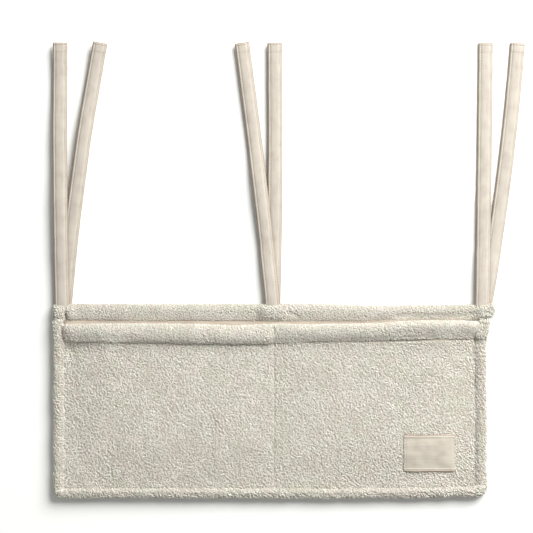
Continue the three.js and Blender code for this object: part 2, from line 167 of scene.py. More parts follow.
def ripple(u, v, size):
    """Smooth noise from -1 to 1, whose lumps are about size millimetres across."""
    u = np.asarray(u) / size + noise_start[0]
    v = np.asarray(v) / size + noise_start[1]
    i, j = np.floor(u).astype(int), np.floor(v).astype(int)
    s, t = smooth(u - i), smooth(v - j)
    near, far = j % noise_size, (j + 1) % noise_size
    rows = (i % noise_size, (i + 1) % noise_size)
    low, high = (noise_table[row, near] * (1 - t) + noise_table[row, far] * t for row in rows)
    return low * (1 - s) + high * s


def dent(distance, reach):
    """1 on a line, and nothing a little way from it."""
    return np.exp(-((distance / reach) ** 2))


def crease(x, y, start, end, reach):
    """1 along a straight crease between two places, and nothing a little way from it."""
    run_x, run_y = end[0] - start[0], end[1] - start[1]
    length = math.hypot(run_x, run_y)
    along = ((x - start[0]) * run_x + (y - start[1]) * run_y) / length
    aside = ((x - start[0]) * run_y - (y - start[1]) * run_x) / length
    past = np.maximum(np.maximum(-along, along - length), 0)
    return dent(aside, reach) * dent(past, reach)


def mark(mesh, name, values):
    """Keeps a value for each point of a mesh, which a material can read."""
    attribute = mesh.attributes.new(name, "FLOAT", "POINT")
    attribute.data.foreach_set("value", np.asarray(values, np.float32).ravel())


# %% The slow waves of the edges, as places along the panel and heights in millimetres
mouth_wave = through(
    [
        (-262, -3.2), (-213, -2.2), (-168, -1.9), (-105, -2.5), (-66, -3.5), (-46, -4.6), (-28, -4),
        (-10, -2.8), (15, -2.3), (46, -3.2), (76, -2.8), (107, -2.4), (137, -1.6), (168, 0.8), (229, 1.8),
        (264, 0.5),
    ]
)
band_edge_wave = through(
    [
        (-262, 1.3), (-170, 0.6), (-95, -0.9), (-15, -1.6), (12, -1.4), (46, 0.7), (107, 1.6), (168, 3.5),
        (229, 4.8), (264, 4.6),
    ]
)
hem_edge_wave = through(
    [
        (-272, -2), (-262, -1.6), (-254, -1.2), (-170, -1.8), (-80, -1.5), (20, -2), (100, -1.9),
        (127, -2.1), (150, -2.4), (200, -2.4), (235, -2.2), (250, -1.2), (258, -0.8), (270, -0.8),
    ]
)
top_wave = through(
    [
        (-262, 0.4), (-245, 0), (-200, -0.4), (-120, -0.7), (-50, -0.3), (-20, -0.5), (20, 0.2), (46, 0.2),
        (76, -0.7), (107, -1.8), (137, -2.5), (168, -1.9), (200, -1.5), (229, -1.2), (252, -0.3), (268, 1.8),
    ]
)
bottom_wave = through(
    [(-270, -0.4), (-240, -0.5), (-100, -0.5), (60, -0.9), (150, -0.7), (200, 0), (230, 1), (262, 1.8)]
)
corner_pull = through(
    [
        (-124, 2.2), (-112, 2), (-98, 0.7), (-86, 0), (-60, 0), (50, 0),
        (74, 0), (82, 0.9), (89, 3), (96, 3.9), (105, 6.6), (113, 10.6), (124, corner_flare),
    ]
)
left_jut = through([(60, 0), (84, 0), (97, 1), (106, 0.4), (118, 0)])
flare_run = 95
flare_from_x = half_width - flare_run


def on_panel(x, y, z):
    """A place on the flat panel, moved with the corner that is pulled out and the edge that juts."""
    right = np.clip((x - flare_from_x) / flare_run, 0, 1)
    left = np.clip((-x - flare_from_x) / flare_run, 0, 1) ** 3
    return np.stack([x + corner_pull(y) * right - left_jut(y) * left, y, z + 0 * x], axis=-1)


mouth_places = np.linspace(-cloth_x, cloth_x, 100)
print("the mouth waves by up to", round(float(np.abs(mouth_wave(mouth_places)).max()), 1), "mm")


# %% [markdown]
# ## Laying a cloth
# A cloth is a grid of points, made by the bmesh operator and then moved to where the cloth lies. A Solidify
# modifier gives it thickness and closes its edges. The cut length of the cloth, across and along, is kept in
# a UV map named "cloth", so a weave can follow the folds.

# %% A cloth from a surface
def stations(low, high, step, fine=(), fine_step=1.2, reach=6):
    """Places from low to high: a coarse step, and a fine one near the places named in fine."""
    places = [low]
    while places[-1] < high:
        near = any(abs(places[-1] - place) < reach for place in fine)
        places.append(places[-1] + (fine_step if near else step))
    places = np.array(places)
    return low + (places - low) * (high - low) / (places[-1] - low)


def new_piece(name, mesh, material):
    mesh.materials.append(material)
    made = bpy.data.objects.new(name, mesh)
    bpy.context.scene.collection.objects.link(made)
    return made


def drawn_points(mesh):
    """The points of a mesh, one row of x, y and z for each."""
    drawn = np.zeros(len(mesh.vertices) * 3)
    mesh.vertices.foreach_get("co", drawn)
    return drawn.reshape(-1, 3)


def point_of_corners(mesh):
    """The point that each corner of each face stands on."""
    corner = np.zeros(len(mesh.loops), int)
    mesh.loops.foreach_get("vertex_index", corner)
    return corner


def lay(mesh, places, cut, brown_and_painted_shade=None):
    """Moves the points of a mesh to their places, and keeps the cut lengths of its corners as a UV map."""
    mesh.vertices.foreach_set("co", (places * mm).ravel())
    mesh.uv_layers.new(name="cloth").data.foreach_set("uv", (cut * mm).ravel())
    if brown_and_painted_shade is not None:
        mark(mesh, "brown_and_painted_shade", brown_and_painted_shade)
    mesh.shade_smooth()
    mesh.update()


def cloth_sheet(name, us, vs, surface, thickness, material, brown_and_painted_shade=None):
    """A cloth with a point wherever a column and a row cross, laid by surface(u, v)."""
    bm = bmesh.new()
    bmesh.ops.create_grid(bm, x_segments=len(us) - 1, y_segments=len(vs) - 1, size=0.5)
    mesh = bpy.data.meshes.new(name)
    bm.to_mesh(mesh)
    bm.free()
    share = drawn_points(mesh) + 0.5
    u = us[np.round(share[:, 0] * (len(us) - 1)).astype(int)]
    v = vs[np.round(share[:, 1] * (len(vs) - 1)).astype(int)]
    cut = np.column_stack([u, v])[point_of_corners(mesh)]
    lay(mesh, surface(u, v), cut, None if brown_and_painted_shade is None else brown_and_painted_shade(u, v))
    made = new_piece(name, mesh, material)
    wall = made.modifiers.new("thickness", "SOLIDIFY")
    wall.thickness = thickness * mm
    wall.offset = 0
    return made


# %% [markdown]
# ## Yarn loops and stitches
# Boucle is woven or knitted with a yarn that throws loops. A loop is half a turn of a thin round section,
# so it is spun once, and copied some sixty thousand times. Copying that many by operator takes minutes, so
# numpy repeats the one mesh instead: each copy is turned to the cloth's own direction and normal, leans a
# little, and keeps its own shade. A stitch is a small ball drawn out along the seam, copied the same way.

# %% The template of a loop, the template of a stitch, and the copier
merge_distance = 1e-5


def yarn_loop(yarn_radius, half_span, height, steps=4):
    """Half a turn of yarn with a section of three sides, as so many need to be light."""
    bm = bmesh.new()
    ring = bmesh.ops.create_circle(bm, cap_ends=True, segments=3, radius=yarn_radius)["verts"]
    bmesh.ops.translate(bm, verts=ring, vec=(half_span, 0, 0))
    bmesh.ops.spin(
        bm, geom=bm.faces[:], cent=(0, 0, 0), axis=(0, -1, 0), angle=math.pi, steps=steps, use_merge=False
    )
    bmesh.ops.remove_doubles(bm, verts=bm.verts, dist=merge_distance)
    bmesh.ops.scale(bm, verts=bm.verts, vec=(1, 1, height / half_span))
    bmesh.ops.recalc_face_normals(bm, faces=bm.faces)
    bmesh.ops.triangulate(bm, faces=bm.faces)
    return bm


def stitch_ball(length, width, height):
    bm = bmesh.new()
    bmesh.ops.create_uvsphere(bm, u_segments=6, v_segments=4, radius=0.5)
    bmesh.ops.rotate(bm, verts=bm.verts, cent=(0, 0, 0), matrix=Matrix.Rotation(math.pi / 2, 3, "Y"))
    bmesh.ops.scale(bm, verts=bm.verts, vec=(length, width, height))
    bmesh.ops.triangulate(bm, faces=bm.faces)
    return bm


def copies(name, template, places, along, up, sizes, material, shades=None):
    """One mesh of many copies of a template, whose x goes along and whose z goes up."""
    template.verts.index_update()
    shape = np.array([vert.co for vert in template.verts])
    faces = np.array([[vert.index for vert in face.verts] for face in template.faces])
    aside = np.cross(up, along)
    axes = np.stack([along, aside, up], axis=1)
    points = places[:, None] + sizes[:, None, None] * np.einsum("vk,nkc->nvc", shape, axes)
    count, corners_each = len(places), len(shape)
    corner = (faces[None] + (np.arange(count) * corners_each)[:, None, None]).ravel()
    mesh = bpy.data.meshes.new(name)
    mesh.vertices.add(count * corners_each)
    mesh.vertices.foreach_set("co", (points * mm).ravel())
    mesh.loops.add(len(corner))
    mesh.loops.foreach_set("vertex_index", corner)
    mesh.polygons.add(len(corner) // 3)
    mesh.polygons.foreach_set("loop_start", np.arange(0, len(corner), 3))
    mesh.update(calc_edges=True)
    mesh.shade_smooth()
    if shades is not None:
        mark(mesh, "shade", np.repeat(shades, corners_each))
    made = new_piece(name, mesh, material)
    print(name, count, "copies,", len(corner) // 3, "triangles")
    return made


def unit(vectors):
    """Each vector with a length of 1."""
    return vectors / np.maximum(np.linalg.norm(vectors, axis=1), tiny)[:, None]


def lie_of(surface, u, v, side):
    """Where a surface lies, its directions across and along, and its normal on one side."""
    step = 0.4
    across = surface(u + step, v) - surface(u - step, v)
    along = surface(u, v + step) - surface(u, v - step)
    normal = side * np.cross(across, along)
    return surface(u, v), unit(across), unit(along), unit(normal)


# %% The pile: loops over one side of a cloth
loop_spacing = (2.25, 1.55)
loop_slant = math.radians(-42)
loop_spread = math.radians(30)
loop_lean = math.radians(24)
grid_shake = 0.28
loop_sizes = (0.28, 0.18)  # how much smaller and how much larger than the template a loop may be
shade_spread = 0.2
patch_shade, patch_size = 0.16, 11


def pile(
    name, surface, span_u, span_v, lift, side=1, seed=1, keep=None, loosen=1.0, size=1.0, mirror=1, wild=1.0
):
    """Loops of yarn that stand on a cloth, slanted to one side, on a grid that is shaken."""
    chance = np.random.default_rng(seed)
    step_u, step_v = loop_spacing[0] * loosen, loop_spacing[1] * loosen
    columns = int((span_u[1] - span_u[0]) / step_u) + 1
    rows = int((span_v[1] - span_v[0]) / step_v) + 1
    u, v = np.meshgrid(np.arange(columns) * step_u + span_u[0], np.arange(rows) * step_v + span_v[0])
    u = u + (np.arange(rows) % 2)[:, None] * step_u / 2
    u = np.clip(u.ravel() + chance.normal(0, grid_shake, u.size) * step_u, *span_u)
    v = np.clip(v.ravel() + chance.normal(0, grid_shake, v.size) * step_v, *span_v)
    turn = mirror * (loop_slant + chance.normal(0, loop_spread, u.size))
    lean = chance.normal(0, wild * loop_lean, u.size)
    sizes = chance.uniform(1 - loop_sizes[0] * wild, 1 + loop_sizes[1] * wild, u.size)
    shades = 0.5 + shade_spread * wild * chance.normal(0, 1, u.size) + patch_shade * ripple(u, v, patch_size)
    place, across, along, normal = lie_of(surface, u, v, side)
    direction = np.cos(turn)[:, None] * across + np.sin(turn)[:, None] * along
    direction = unit(direction - (direction * normal).sum(axis=1)[:, None] * normal)
    beside = np.cross(normal, direction)
    up = np.cos(lean)[:, None] * normal + np.sin(lean)[:, None] * beside
    stands = place + normal * lift
    sizes = sizes * (size(u, v) if callable(size) else size)
    chosen = np.ones(u.size, bool) if keep is None else keep(stands, u, v)
    laid = [values[chosen] for values in (stands, direction, up, sizes)]
    return copies(name, loop_template, *laid, yarn, np.clip(shades, 0, 1)[chosen])


# %% A row of stitches
stitch_length = 2.4
stitch_gap = 1.0


def stitch_row(name, lines, ups):
    """Stitches end to end along one or more lines of points, each a little apart from the next."""
    places, directions, normals = [], [], []
    for line, up in zip(lines, ups):
        steps = np.linalg.norm(np.diff(line, axis=0), axis=1)
        length = np.concatenate([[0], np.cumsum(steps)])
        count = max(2, int(length[-1] / (stitch_length + stitch_gap)))
        middles = (np.arange(count) + 0.5) * length[-1] / count

        def read(values, offset=0.0):
            return np.column_stack([np.interp(middles + offset, length, column) for column in values.T])

        direction = unit(read(line, 0.5) - read(line, -0.5))
        normal = read(up)
        places.append(read(line))
        directions.append(direction)
        normals.append(unit(normal - (normal * direction).sum(axis=1)[:, None] * direction))
    places, directions, normals = (np.concatenate(part) for part in (places, directions, normals))
    return copies(name, stitch_template, places, directions, normals, np.ones(len(places)), thread)


loop_template = yarn_loop(yarn_radius=0.55, half_span=1.45, height=1.4)
stitch_template = stitch_ball(stitch_length, width=0.75, height=0.6)
print("a loop has", len(loop_template.faces), "triangles, a stitch has", len(stitch_template.faces))


# %% [markdown]
# ## Cotton, boucle and the tools to make them
# Each finish starts from the real cloth. Colours are sRGB hex values turned to linear by one function, and
# one function adds a node with its settings and links.

# %% Helpers for materials
def linear(hex_colour):
    """An sRGB hex colour as linear RGBA."""
    parts = [int(hex_colour[i : i + 2], 16) / 255 for i in (1, 3, 5)]
    return (*[p / 12.92 if p <= 0.04045 else ((p + 0.055) / 1.055) ** 2.4 for p in parts], 1)


def add_node(material, kind, inputs=None, **settings):
    """A node with its settings; an input is a value, or another node's output to link."""
    made = material.node_tree.nodes.new(kind)
    for key, value in settings.items():
        setattr(made, key, value)
    for key, value in (inputs or {}).items():
        named = [socket for socket in made.inputs if socket.enabled and key == socket.name]
        target = named[0] if named else made.inputs[key]
        if isinstance(value, bpy.types.NodeSocket):
            material.node_tree.links.new(value, target)
        else:
            target.default_value = value
    return made


def new_material(name, roughness, sheen=0.0, sheen_roughness=0.5):
    """A material with its shader; the sheen is the fuzz of the fibres."""
    material = bpy.data.materials.new(name)
    material.use_nodes = True
    shader = material.node_tree.nodes["Principled BSDF"]
    shader.inputs["Roughness"].default_value = roughness
    shader.inputs["Sheen Weight"].default_value = sheen
    shader.inputs["Sheen Roughness"].default_value = sheen_roughness
    return material, shader


def lumps_of(material, place, size_mm, detail):
    """A noise from 0 to 1 whose lumps are about size_mm across."""
    inputs = {"Vector": place, "Scale": 1 / (size_mm * mm), "Detail": detail}
    return add_node(material, "ShaderNodeTexNoise", inputs).outputs["Fac"]


def multiply_add(material, value, factor, added):
    inputs = {0: value, 1: factor, 2: added}
    return add_node(material, "ShaderNodeMath", inputs, operation="MULTIPLY_ADD").outputs[0]


def blend_colours(material, share, dark, light, low=0.3, high=0.7):
    """A ramp from a dark to a light colour."""
    made = add_node(material, "ShaderNodeValToRGB", {"Fac": share})
    for element, position, colour in zip(made.color_ramp.elements, (low, high), (dark, light)):
        element.position = position
        element.color = linear(colour)
    return made.outputs["Color"]


def raise_surface(material, shader, height, depth_mm, strength=1.0):
    """Lets a value stand out of the surface as a relief."""
    inputs = {"Height": height, "Strength": strength, "Distance": depth_mm * mm}
    bump = add_node(material, "ShaderNodeBump", inputs)
    material.node_tree.links.new(bump.outputs["Normal"], shader.inputs["Normal"])


print("white as linear light:", linear("#FFFFFF"))

# %% [markdown]
# ### Boucle
# The ground of a boucle is a tight cotton knit, which shows only between the loops, in their shade. Its
# colours are set darker than the yarn's, which is painted shade. The loops are soft spun yarn: matt, a
# little fuzzy, each with a slightly different cream. The fuzz is the shader's sheen, and the twist of the
# yarn is a fine noise of about a third of a millimetre.

# %% Boucle ground and boucle yarn
patch_mm, knit_mm, twist_mm = 19, 1.6, 0.35
pinkish, greenish = "#FFFDFC", "#FDFFFB"


def tinted(material, place, colour):
    """A colour with slow patches that are a little more pink or more green, as dyed cream yarn has."""
    patch = lumps_of(material, place, patch_mm, detail=2)
    tint = blend_colours(material, patch, pinkish, greenish, low=0.4, high=0.6)
    inputs = {"Factor": 1.0, "A": colour, "B": tint}
    mix = add_node(material, "ShaderNodeMix", inputs, data_type="RGBA", blend_type="MULTIPLY")
    return mix.outputs["Result"]


def boucle_ground():
    material, shader = new_material("knitted cotton ground", roughness=0.95)
    place = add_node(material, "ShaderNodeTexCoord").outputs["Object"]
    knit = lumps_of(material, place, knit_mm, detail=3)
    # The knit's colours are darker than the yarn's: painted shade of the loops that stand over it.
    colour = tinted(material, place, blend_colours(material, knit, dark="#A8A091", light="#CDC6B9"))
    material.node_tree.links.new(colour, shader.inputs["Base Color"])
    raise_surface(material, shader, knit, depth_mm=0.7)
    return material


def boucle_yarn():
    material, shader = new_material("soft spun boucle yarn", roughness=0.92, sheen=0.25, sheen_roughness=0.6)
    place = add_node(material, "ShaderNodeTexCoord").outputs["Object"]
    shade = add_node(material, "ShaderNodeAttribute", attribute_name="shade").outputs["Fac"]
    cream = blend_colours(material, shade, dark="#DAD4C7", light="#FFFDF7", low=0.06, high=0.94)
    material.node_tree.links.new(tinted(material, place, cream), shader.inputs["Base Color"])
    raise_surface(material, shader, lumps_of(material, place, twist_mm, detail=2), depth_mm=0.15)
    return material


ground = boucle_ground()
yarn = boucle_yarn()
print("boucle:", ground.name, "and", yarn.name)

# %% [markdown]
# ### Plain cotton
# The lining, the straps and the label are plain woven cotton. A plain weave is two rows of waves crossing,
# drawn on the cloth's own UV map. Real threads here are about 0.5 mm apart, less than half a pixel, so the
# weave is drawn near 1 mm and softened, which leaves the grain the eye expects.

# %% Woven cotton
weave_unevenness, weave_detail = 0.6, 2
weave_in_colour, slub_in_colour, slub_in_relief = 0.3, 0.7, 0.8
colour_low, colour_high = 0.6, 1.3
relief_strength = 0.7
blotch_mm = 14


def woven_cotton(name, dark, light, brown_and_shade_colour, thread_mm, depth_mm, slub_mm=(30, 1.6)):
    """Plain cotton: two rows of waves, slubs drawn out along the threads, and a brown where it is marked,
    which stands for browned cloth and for painted shade.
    """
    material, shader = new_material(name, roughness=0.88, sheen=0.15)
    cut = add_node(material, "ShaderNodeUVMap", uv_map="cloth").outputs["UV"]
    place = add_node(material, "ShaderNodeTexCoord").outputs["Object"]
    wave_span = 20 / math.tau  # a wave texture has this many bands in one unit at a scale of one
    threads = {
        "Vector": cut,
        "Scale": 1 / (wave_span * thread_mm * mm),
        "Distortion": weave_unevenness,
        "Detail Scale": weave_detail,
    }
    warp = add_node(material, "ShaderNodeTexWave", threads, bands_direction="X").outputs["Fac"]
    weft = add_node(material, "ShaderNodeTexWave", threads, bands_direction="Y").outputs["Fac"]
    weave = add_node(material, "ShaderNodeMath", {0: warp, 1: weft}, operation="MULTIPLY").outputs[0]
    blotch = lumps_of(material, place, blotch_mm, detail=4)
    stretch = [1 / (size * mm) for size in slub_mm]
    drawn_out = add_node(material, "ShaderNodeMapping", {"Vector": cut, "Scale": (*stretch, 1)})
    slubs = {"Vector": drawn_out.outputs["Vector"], "Scale": 1, "Detail": 2}
    slub = add_node(material, "ShaderNodeTexNoise", slubs).outputs["Fac"]
    mixed = multiply_add(material, weave, weave_in_colour, blotch)
    uneven = multiply_add(material, slub, slub_in_colour, mixed)
    colour = blend_colours(material, uneven, dark, light, colour_low, colour_high)
    # The marked brown is the browned cut edge at a strap's tip, and painted shade in a strap's gap, on its
    # rims and on the label.
    brown_and_painted_shade = add_node(material, "ShaderNodeAttribute", attribute_name="brown_and_painted_shade").outputs["Fac"]
    inputs = {"Factor": brown_and_painted_shade, "A": colour, "B": linear(brown_and_shade_colour)}
    mix = add_node(material, "ShaderNodeMix", inputs, data_type="RGBA")
    material.node_tree.links.new(mix.outputs["Result"], shader.inputs["Base Color"])
    relief = multiply_add(material, slub, slub_in_relief, weave)
    raise_surface(material, shader, relief, depth_mm, relief_strength)
    return material


# The lining's colours are set darker than bare calico: painted shade for the strip that shows below the hem.
calico = woven_cotton(
    "cotton calico lining", dark="#B8AA98", light="#CABEAD", brown_and_shade_colour="#B89A7C", thread_mm=1.0, depth_mm=0.12
)
strap_cotton = woven_cotton(
    "folded cotton strap", dark="#AFA599", light="#C2BAAD", brown_and_shade_colour="#8E7A64", thread_mm=1.1, depth_mm=0.1,
    slub_mm=(1.8, 26)
)
label_cotton = woven_cotton(
    "woven label tape", dark="#B5AC9D", light="#C8C0B1", brown_and_shade_colour="#8E6B58", thread_mm=0.9, depth_mm=0.1
)


def cotton_thread():
    material, shader = new_material("twisted cotton thread", roughness=0.75)
    place = add_node(material, "ShaderNodeTexCoord").outputs["Object"]
    ply = lumps_of(material, place, size_mm=0.4, detail=1)
    colour = blend_colours(material, ply, dark="#D2C9BC", light="#E4DDD2")
    material.node_tree.links.new(colour, shader.inputs["Base Color"])
    raise_surface(material, shader, ply, depth_mm=0.1)
    return material


thread = cotton_thread()
print("cottons:", [material.name for material in (calico, strap_cotton, label_cotton, thread)])

# %% [markdown]
# ## The pocket front
# One width of boucle covers both pockets. It is drawn down into the seam along three sides and, less, along
# the divider, and stands a little proud between them. At the mouth it turns outwards and comes down again as
# a soft band. A flat cloth that is folded once is a path in section, so the path is drawn through a few
# points and the cloth follows it. No cloth simulation is needed, because nothing hangs.

# %% The measures of the pocket front, in millimetres
pile_thickness = 2.6
pocket_z = 6.0
fold_setback = 2.7
fold_tuck = 0.8
fold_y = mouth_y - fold_setback
band_section = [
    (fold_y - fold_tuck, pocket_z),
    (97.4, 6.4),
    (98.0, 7.7),
    (97.5, 9.7),
    (95.9, 11.7),
    (93.0, 13.0),
    (89.0, 13.6),
    (84.6, 13.3),
    (80.6, 12.1),
    (77.2, 10.2),
    (75.4, 8.3),
    (77.3, 7.6),
]
band_length, band_y, band_z = along_path(band_section)
front_length = fold_y - fold_tuck - cloth_bottom_y
band_seam_inset = 3
band_seam_y = band_edge_y + band_seam_inset
print("pocket front:", round(front_length), "mm to the fold and", round(band_length), "mm over it")

# %% [markdown]
# The rest was set from the light and shade of the photograph. A pair of places is where something starts
# and where it is full. A pull is how far a seam draws the cloth down: its depth, its place off the seam, and
# its reach.

# %% The shape of the pocket front
crown_height = 4.2
crown_run = 60
divider_step = 12
divider_hollow, divider_hollow_reach = 0.32, 32
far_right, far_left = (140, 200), (-180, -220)
band_lift = {"everywhere": 1.3, "right": 1.1, "far right": 0.9, "far left": 2.2}
lift_rim, far_left_rim, lift_fade = 14, 5, 7
foot_y, foot_follows_mouth = 74.0, 0.65
pulls = {
    "side": (0.3, 0.3, 2.0),
    "bottom": (0.9, 0.8, 2.2),
    "divider": (1.3, 0, 1.7),
    "divider on the band": (1.4, 0.6, 1.1),
    "fulness beside the divider": (1.3, -8, 8),
    "end of the band": (2.2, 0.5, 1.8),
    "near the end of the band": (1.2, 0, 9),
}
sunk_corner, sunk_depth, sunk_reach = (-253, 67), 1.9, 7
band_draw, band_draw_reach = 2.3, {"left": 5, "right": 9}
end_press, end_pressed = 5.6, (0.5, -2.0)
fulness_y, band_draw_y = (89, 81), (98, 93)
slump = {"right": 2.5, "far right": 0.9, "left end": 1.8, "foot": 1.4}
left_end, slump_y, slump_z = (-150, -200), (97, 81), (8.5, 11.7)
slump_foot_y, slump_foot_z = (90, 84), (12.6, 9.4)
foot_pull = {"right": 1.6, "far right": 0.9}
foot_far_right, foot_pull_place = (90, 130), 0.3
foot_pull_reach = {"below": 1.4, "above": 2.6}
lump_sizes, lump_heights = (7, 17, 46), (0.28, 0.35, 0.35)
band_lumps_away = 300  # the band's lumps are read this far from those of the cloth under it
mouth_wave_y, bottom_wave_y = (40, 97), (-60, -115)
corner_radius = {-1: 8.0, 1: 15.0}


def right_of_divider(x):
    return smooth((x - divider_x) / divider_step)


def foot_line(x):
    """Where the lower edge of the folded band rests on the cloth below it."""
    return foot_y + band_edge_wave(x) - foot_follows_mouth * mouth_wave(x)


def pull(name, distance):
    """How far a seam draws the cloth down at a distance from it."""
    depth, place, reach = pulls[name]
    return depth * dent(distance - place, reach)


def crown(x, y):
    """How far the front of a pocket stands over its seams; the weight of the band lifts it a little more."""
    from_side = seam_x - np.abs(x)
    from_divider = 1 - divider_hollow * dent(x - divider_x, divider_hollow_reach)
    from_bottom = smooth((y - bottom_seam_y) / crown_run)
    right = band_lift["right"] * right_of_divider(x) + band_lift["far right"] * ramp(x, *far_right)
    lifted = (band_lift["everywhere"] + right) * smooth(from_side / lift_rim)
    lifted = lifted + band_lift["far left"] * ramp(x, *far_left) * smooth(from_side / far_left_rim)
    lifted = lifted * np.exp(-np.maximum(foot_line(x) - y, 0) / lift_fade)
    return crown_height * smooth(from_side / crown_run) * from_divider * from_bottom + lifted


def seam_dents(x, y):
    """How far the seams pull the cloth down."""
    beside = np.maximum(pull("side", seam_x - np.abs(x)), pull("bottom", y - bottom_seam_y))
    corner = sunk_depth * dent(np.hypot(x - sunk_corner[0], y - sunk_corner[1]), sunk_reach)
    return np.maximum(beside, pull("divider", x - divider_x)) + corner


def band_dents(x, y):
    """On the band the divider's seam draws the cloth down, and the left binding presses its end flat."""
    from_divider, from_end = x - divider_x, x + seam_x
    reach = np.where(from_divider > 0, band_draw_reach["right"], band_draw_reach["left"])
    drawn = band_draw * dent(from_divider, reach) + pull("divider on the band", from_divider)
    full = pull("fulness beside the divider", from_divider) * ramp(y, *fulness_y)
    end = pull("end of the band", from_end) + pull("near the end of the band", from_end)
    return drawn * ramp(y, *band_draw_y) + end + end_press * ramp(from_end, *end_pressed) - full


def band_slump(x, folded):
    """To the right of the divider, and near its left end, the band lies lower under its fold."""
    y, z = band_y(folded), band_z(folded)
    right = slump["right"] * right_of_divider(x) + slump["far right"] * ramp(x, *far_right)
    sunk = (right + slump["left end"] * ramp(x, *left_end)) * ramp(y, *slump_y)
    foot = slump["foot"] * right_of_divider(x) * ramp(z, *slump_foot_z) * ramp(y, *slump_foot_y)
    return sunk * ramp(z, *slump_z) + foot


def foot_dent(x, y):
    """To the right of the divider the seam of the band pulls the cloth below it down."""
    reach = np.where(y < foot_line(x), foot_pull_reach["below"], foot_pull_reach["above"])
    depth = foot_pull["right"] * right_of_divider(x) + foot_pull["far right"] * ramp(x, *foot_far_right)
    return depth * dent(y - foot_line(x) - foot_pull_place, reach)


def lumps(x, y):
    """Small, middling and broad unevenness together."""
    small, middling, broad = lump_sizes
    fields = (ripple(x, y, small), ripple(y, x, middling), ripple(x, y, broad))
    return sum(height * field for height, field in zip(lump_heights, fields))


def rounded_corner(x, y, edge_x, edge_y, inset):
    """Draws a bottom corner of a rectangle in, so that it is round."""
    side = np.where(x < 0, -1, 1)
    radius = np.where(x < 0, corner_radius[-1], corner_radius[1]) - inset
    right = np.maximum(np.abs(x) - (edge_x - radius), 0)
    low = np.maximum(edge_y + radius - y, 0)
    reach = np.maximum(np.hypot(right, low), tiny)
    drawn = np.where((right > 0) & (low > 0), np.maximum(right, low) / reach, 1)
    x = np.where(right > 0, side * (edge_x - radius + right * drawn), x)
    return x, np.where(low > 0, edge_y + radius - low * drawn, y)


def pocket_surface(u, v):
    """The middle of the pocket front, by its place across and its length from the bottom edge."""
    on_band = v > front_length
    folded = np.clip(v - front_length, 0, band_length)
    flat_y = cloth_bottom_y + np.minimum(v, front_length)
    y = np.where(on_band, band_y(folded), flat_y)
    z = np.where(on_band, band_z(folded), pocket_z)
    x, y_round = rounded_corner(u, y, cloth_x, cloth_bottom_y, cloth_margin)
    in_band = np.clip((mouth_y - y) / band_height, 0, 1)
    banded = mouth_wave(x) * (1 - in_band) + band_edge_wave(x) * in_band
    main = mouth_wave(x) * ramp(y, *mouth_wave_y)
    y_waved = y_round + np.where(on_band, banded, main) + bottom_wave(x) * ramp(y, *bottom_wave_y)
    band_pulled = band_dents(x, y) + band_slump(x, folded)
    sewn = np.where(on_band, band_pulled, seam_dents(x, y) + foot_dent(x, y))
    height = z + crown(x, y) - sewn + lumps(x, y_waved + np.where(on_band, band_lumps_away, 0))
    return on_panel(x, y_waved, np.maximum(height, pile_thickness))


front_step = 3.0
seam_lengths = [bottom_seam_y - cloth_bottom_y, band_seam_y - cloth_bottom_y]
front_us = stations(-cloth_x, cloth_x, front_step, [-seam_x, divider_x, seam_x])
band_vs = stations(
    front_length, front_length + band_length, step=1.3, fine=[front_length], fine_step=0.7, reach=9
)
front_vs = np.concatenate([stations(0, front_length, front_step, seam_lengths)[:-1], band_vs])
pocket_front = cloth_sheet("folded_pocket_front", front_us, front_vs, pocket_surface, pile_thickness, ground)
print("pocket front:", len(front_us), "by", len(front_vs), "points")
print("its cut length is", round(front_length + band_length), "mm")

# %% [markdown]
# ## The top hem
# The hem is a second width of boucle over the top of the back panel. It starts folded under, stands soft
# and full, and rolls over the top edge. It rises over each pair of straps, because their roots lie behind
# it. Both of its ends turn down to the back panel and close it, and at the left a crease sets the end off
# as a small tab.

# %% The shape of the top hem
strap_width = 17.3
hem_thickness = 1.8
hem_section = [
    (109.0, 3.4),
    (106.4, 3.1),
    (104.4, 3.1),
    (103.1, 3.4),
    (103.0, 3.9),
    (104.4, 4.4),
    (107.0, 4.9),
    (110.4, 5.6),
    (113.6, 6.3),
    (116.4, 6.5),
    (119.0, 5.8),
    (121.0, 4.2),
    (122.2, 2.4),
]
hem_length, hem_y, hem_z = along_path(hem_section)
hem_end_inset = 2.7
hem_turn_in = 3.5
hem_turn_x = half_width - hem_end_inset
hem_half_cut = half_width + hem_turn_in
pair_places = {"left": -264, "centre": 3, "right": 269.9}
tab_x, tab_step, tab_height = -260, 3, 2.2
# Each crease has two ends, a reach and a depth.
tab_crease = ((-259.4, 111), (-258.2, 106), 2.0, 5.2)
hem_creases = [
    tab_crease,
    ((-261.4, 122), (-259.6, 112), 1.2, 2.4),
    ((22.9, 113.7), (36.8, 107.9), 1.5, 1.2),
    ((261, 127), (269.5, 120.5), 1.2, 1.8),
    ((259, 104), (258, 110), 2.2, 1.6),
    ((160, 110.8), (250, 110.4), 3.4, 1.3),
    ((-258.6, 120), (-258.6, 106), 9.0, 1.5),
]
hem_lift_height = 3.6
lift_margin, lift_run = 1, 11
middle_pair = (60, 50)
worn_from, worn_to, worn_y, worn_depth = (115, 165), (250, 236), (112, 105), 0.4
full_from, full_to = (103, 108), (123, 117)
middle_lift_y = (98, 115)
loose_height, loose_y = 1.2, (102, 104)
hem_lumps_away = 90
end_round, end_round_run = 1.5, 4
closing, closed_z = (0.4, 6.2), 2.4


def over_straps(x):
    """1 where a pair of straps lies behind the hem, and nothing a little way from it."""
    past = [np.abs(x - place) - strap_width / 2 - lift_margin for place in pair_places.values()]
    return np.maximum.reduce([smooth(1 - np.maximum(one, 0) / lift_run) for one in past])


def over_middle_straps(x):
    """The same, for the middle pair alone."""
    return over_straps(x) * ramp(np.abs(x), *middle_pair)


def worn(x):
    """Where the hem's lower edge is thin and its loops are sparse, at the right."""
    return ramp(x, *worn_from) * ramp(x, *worn_to)


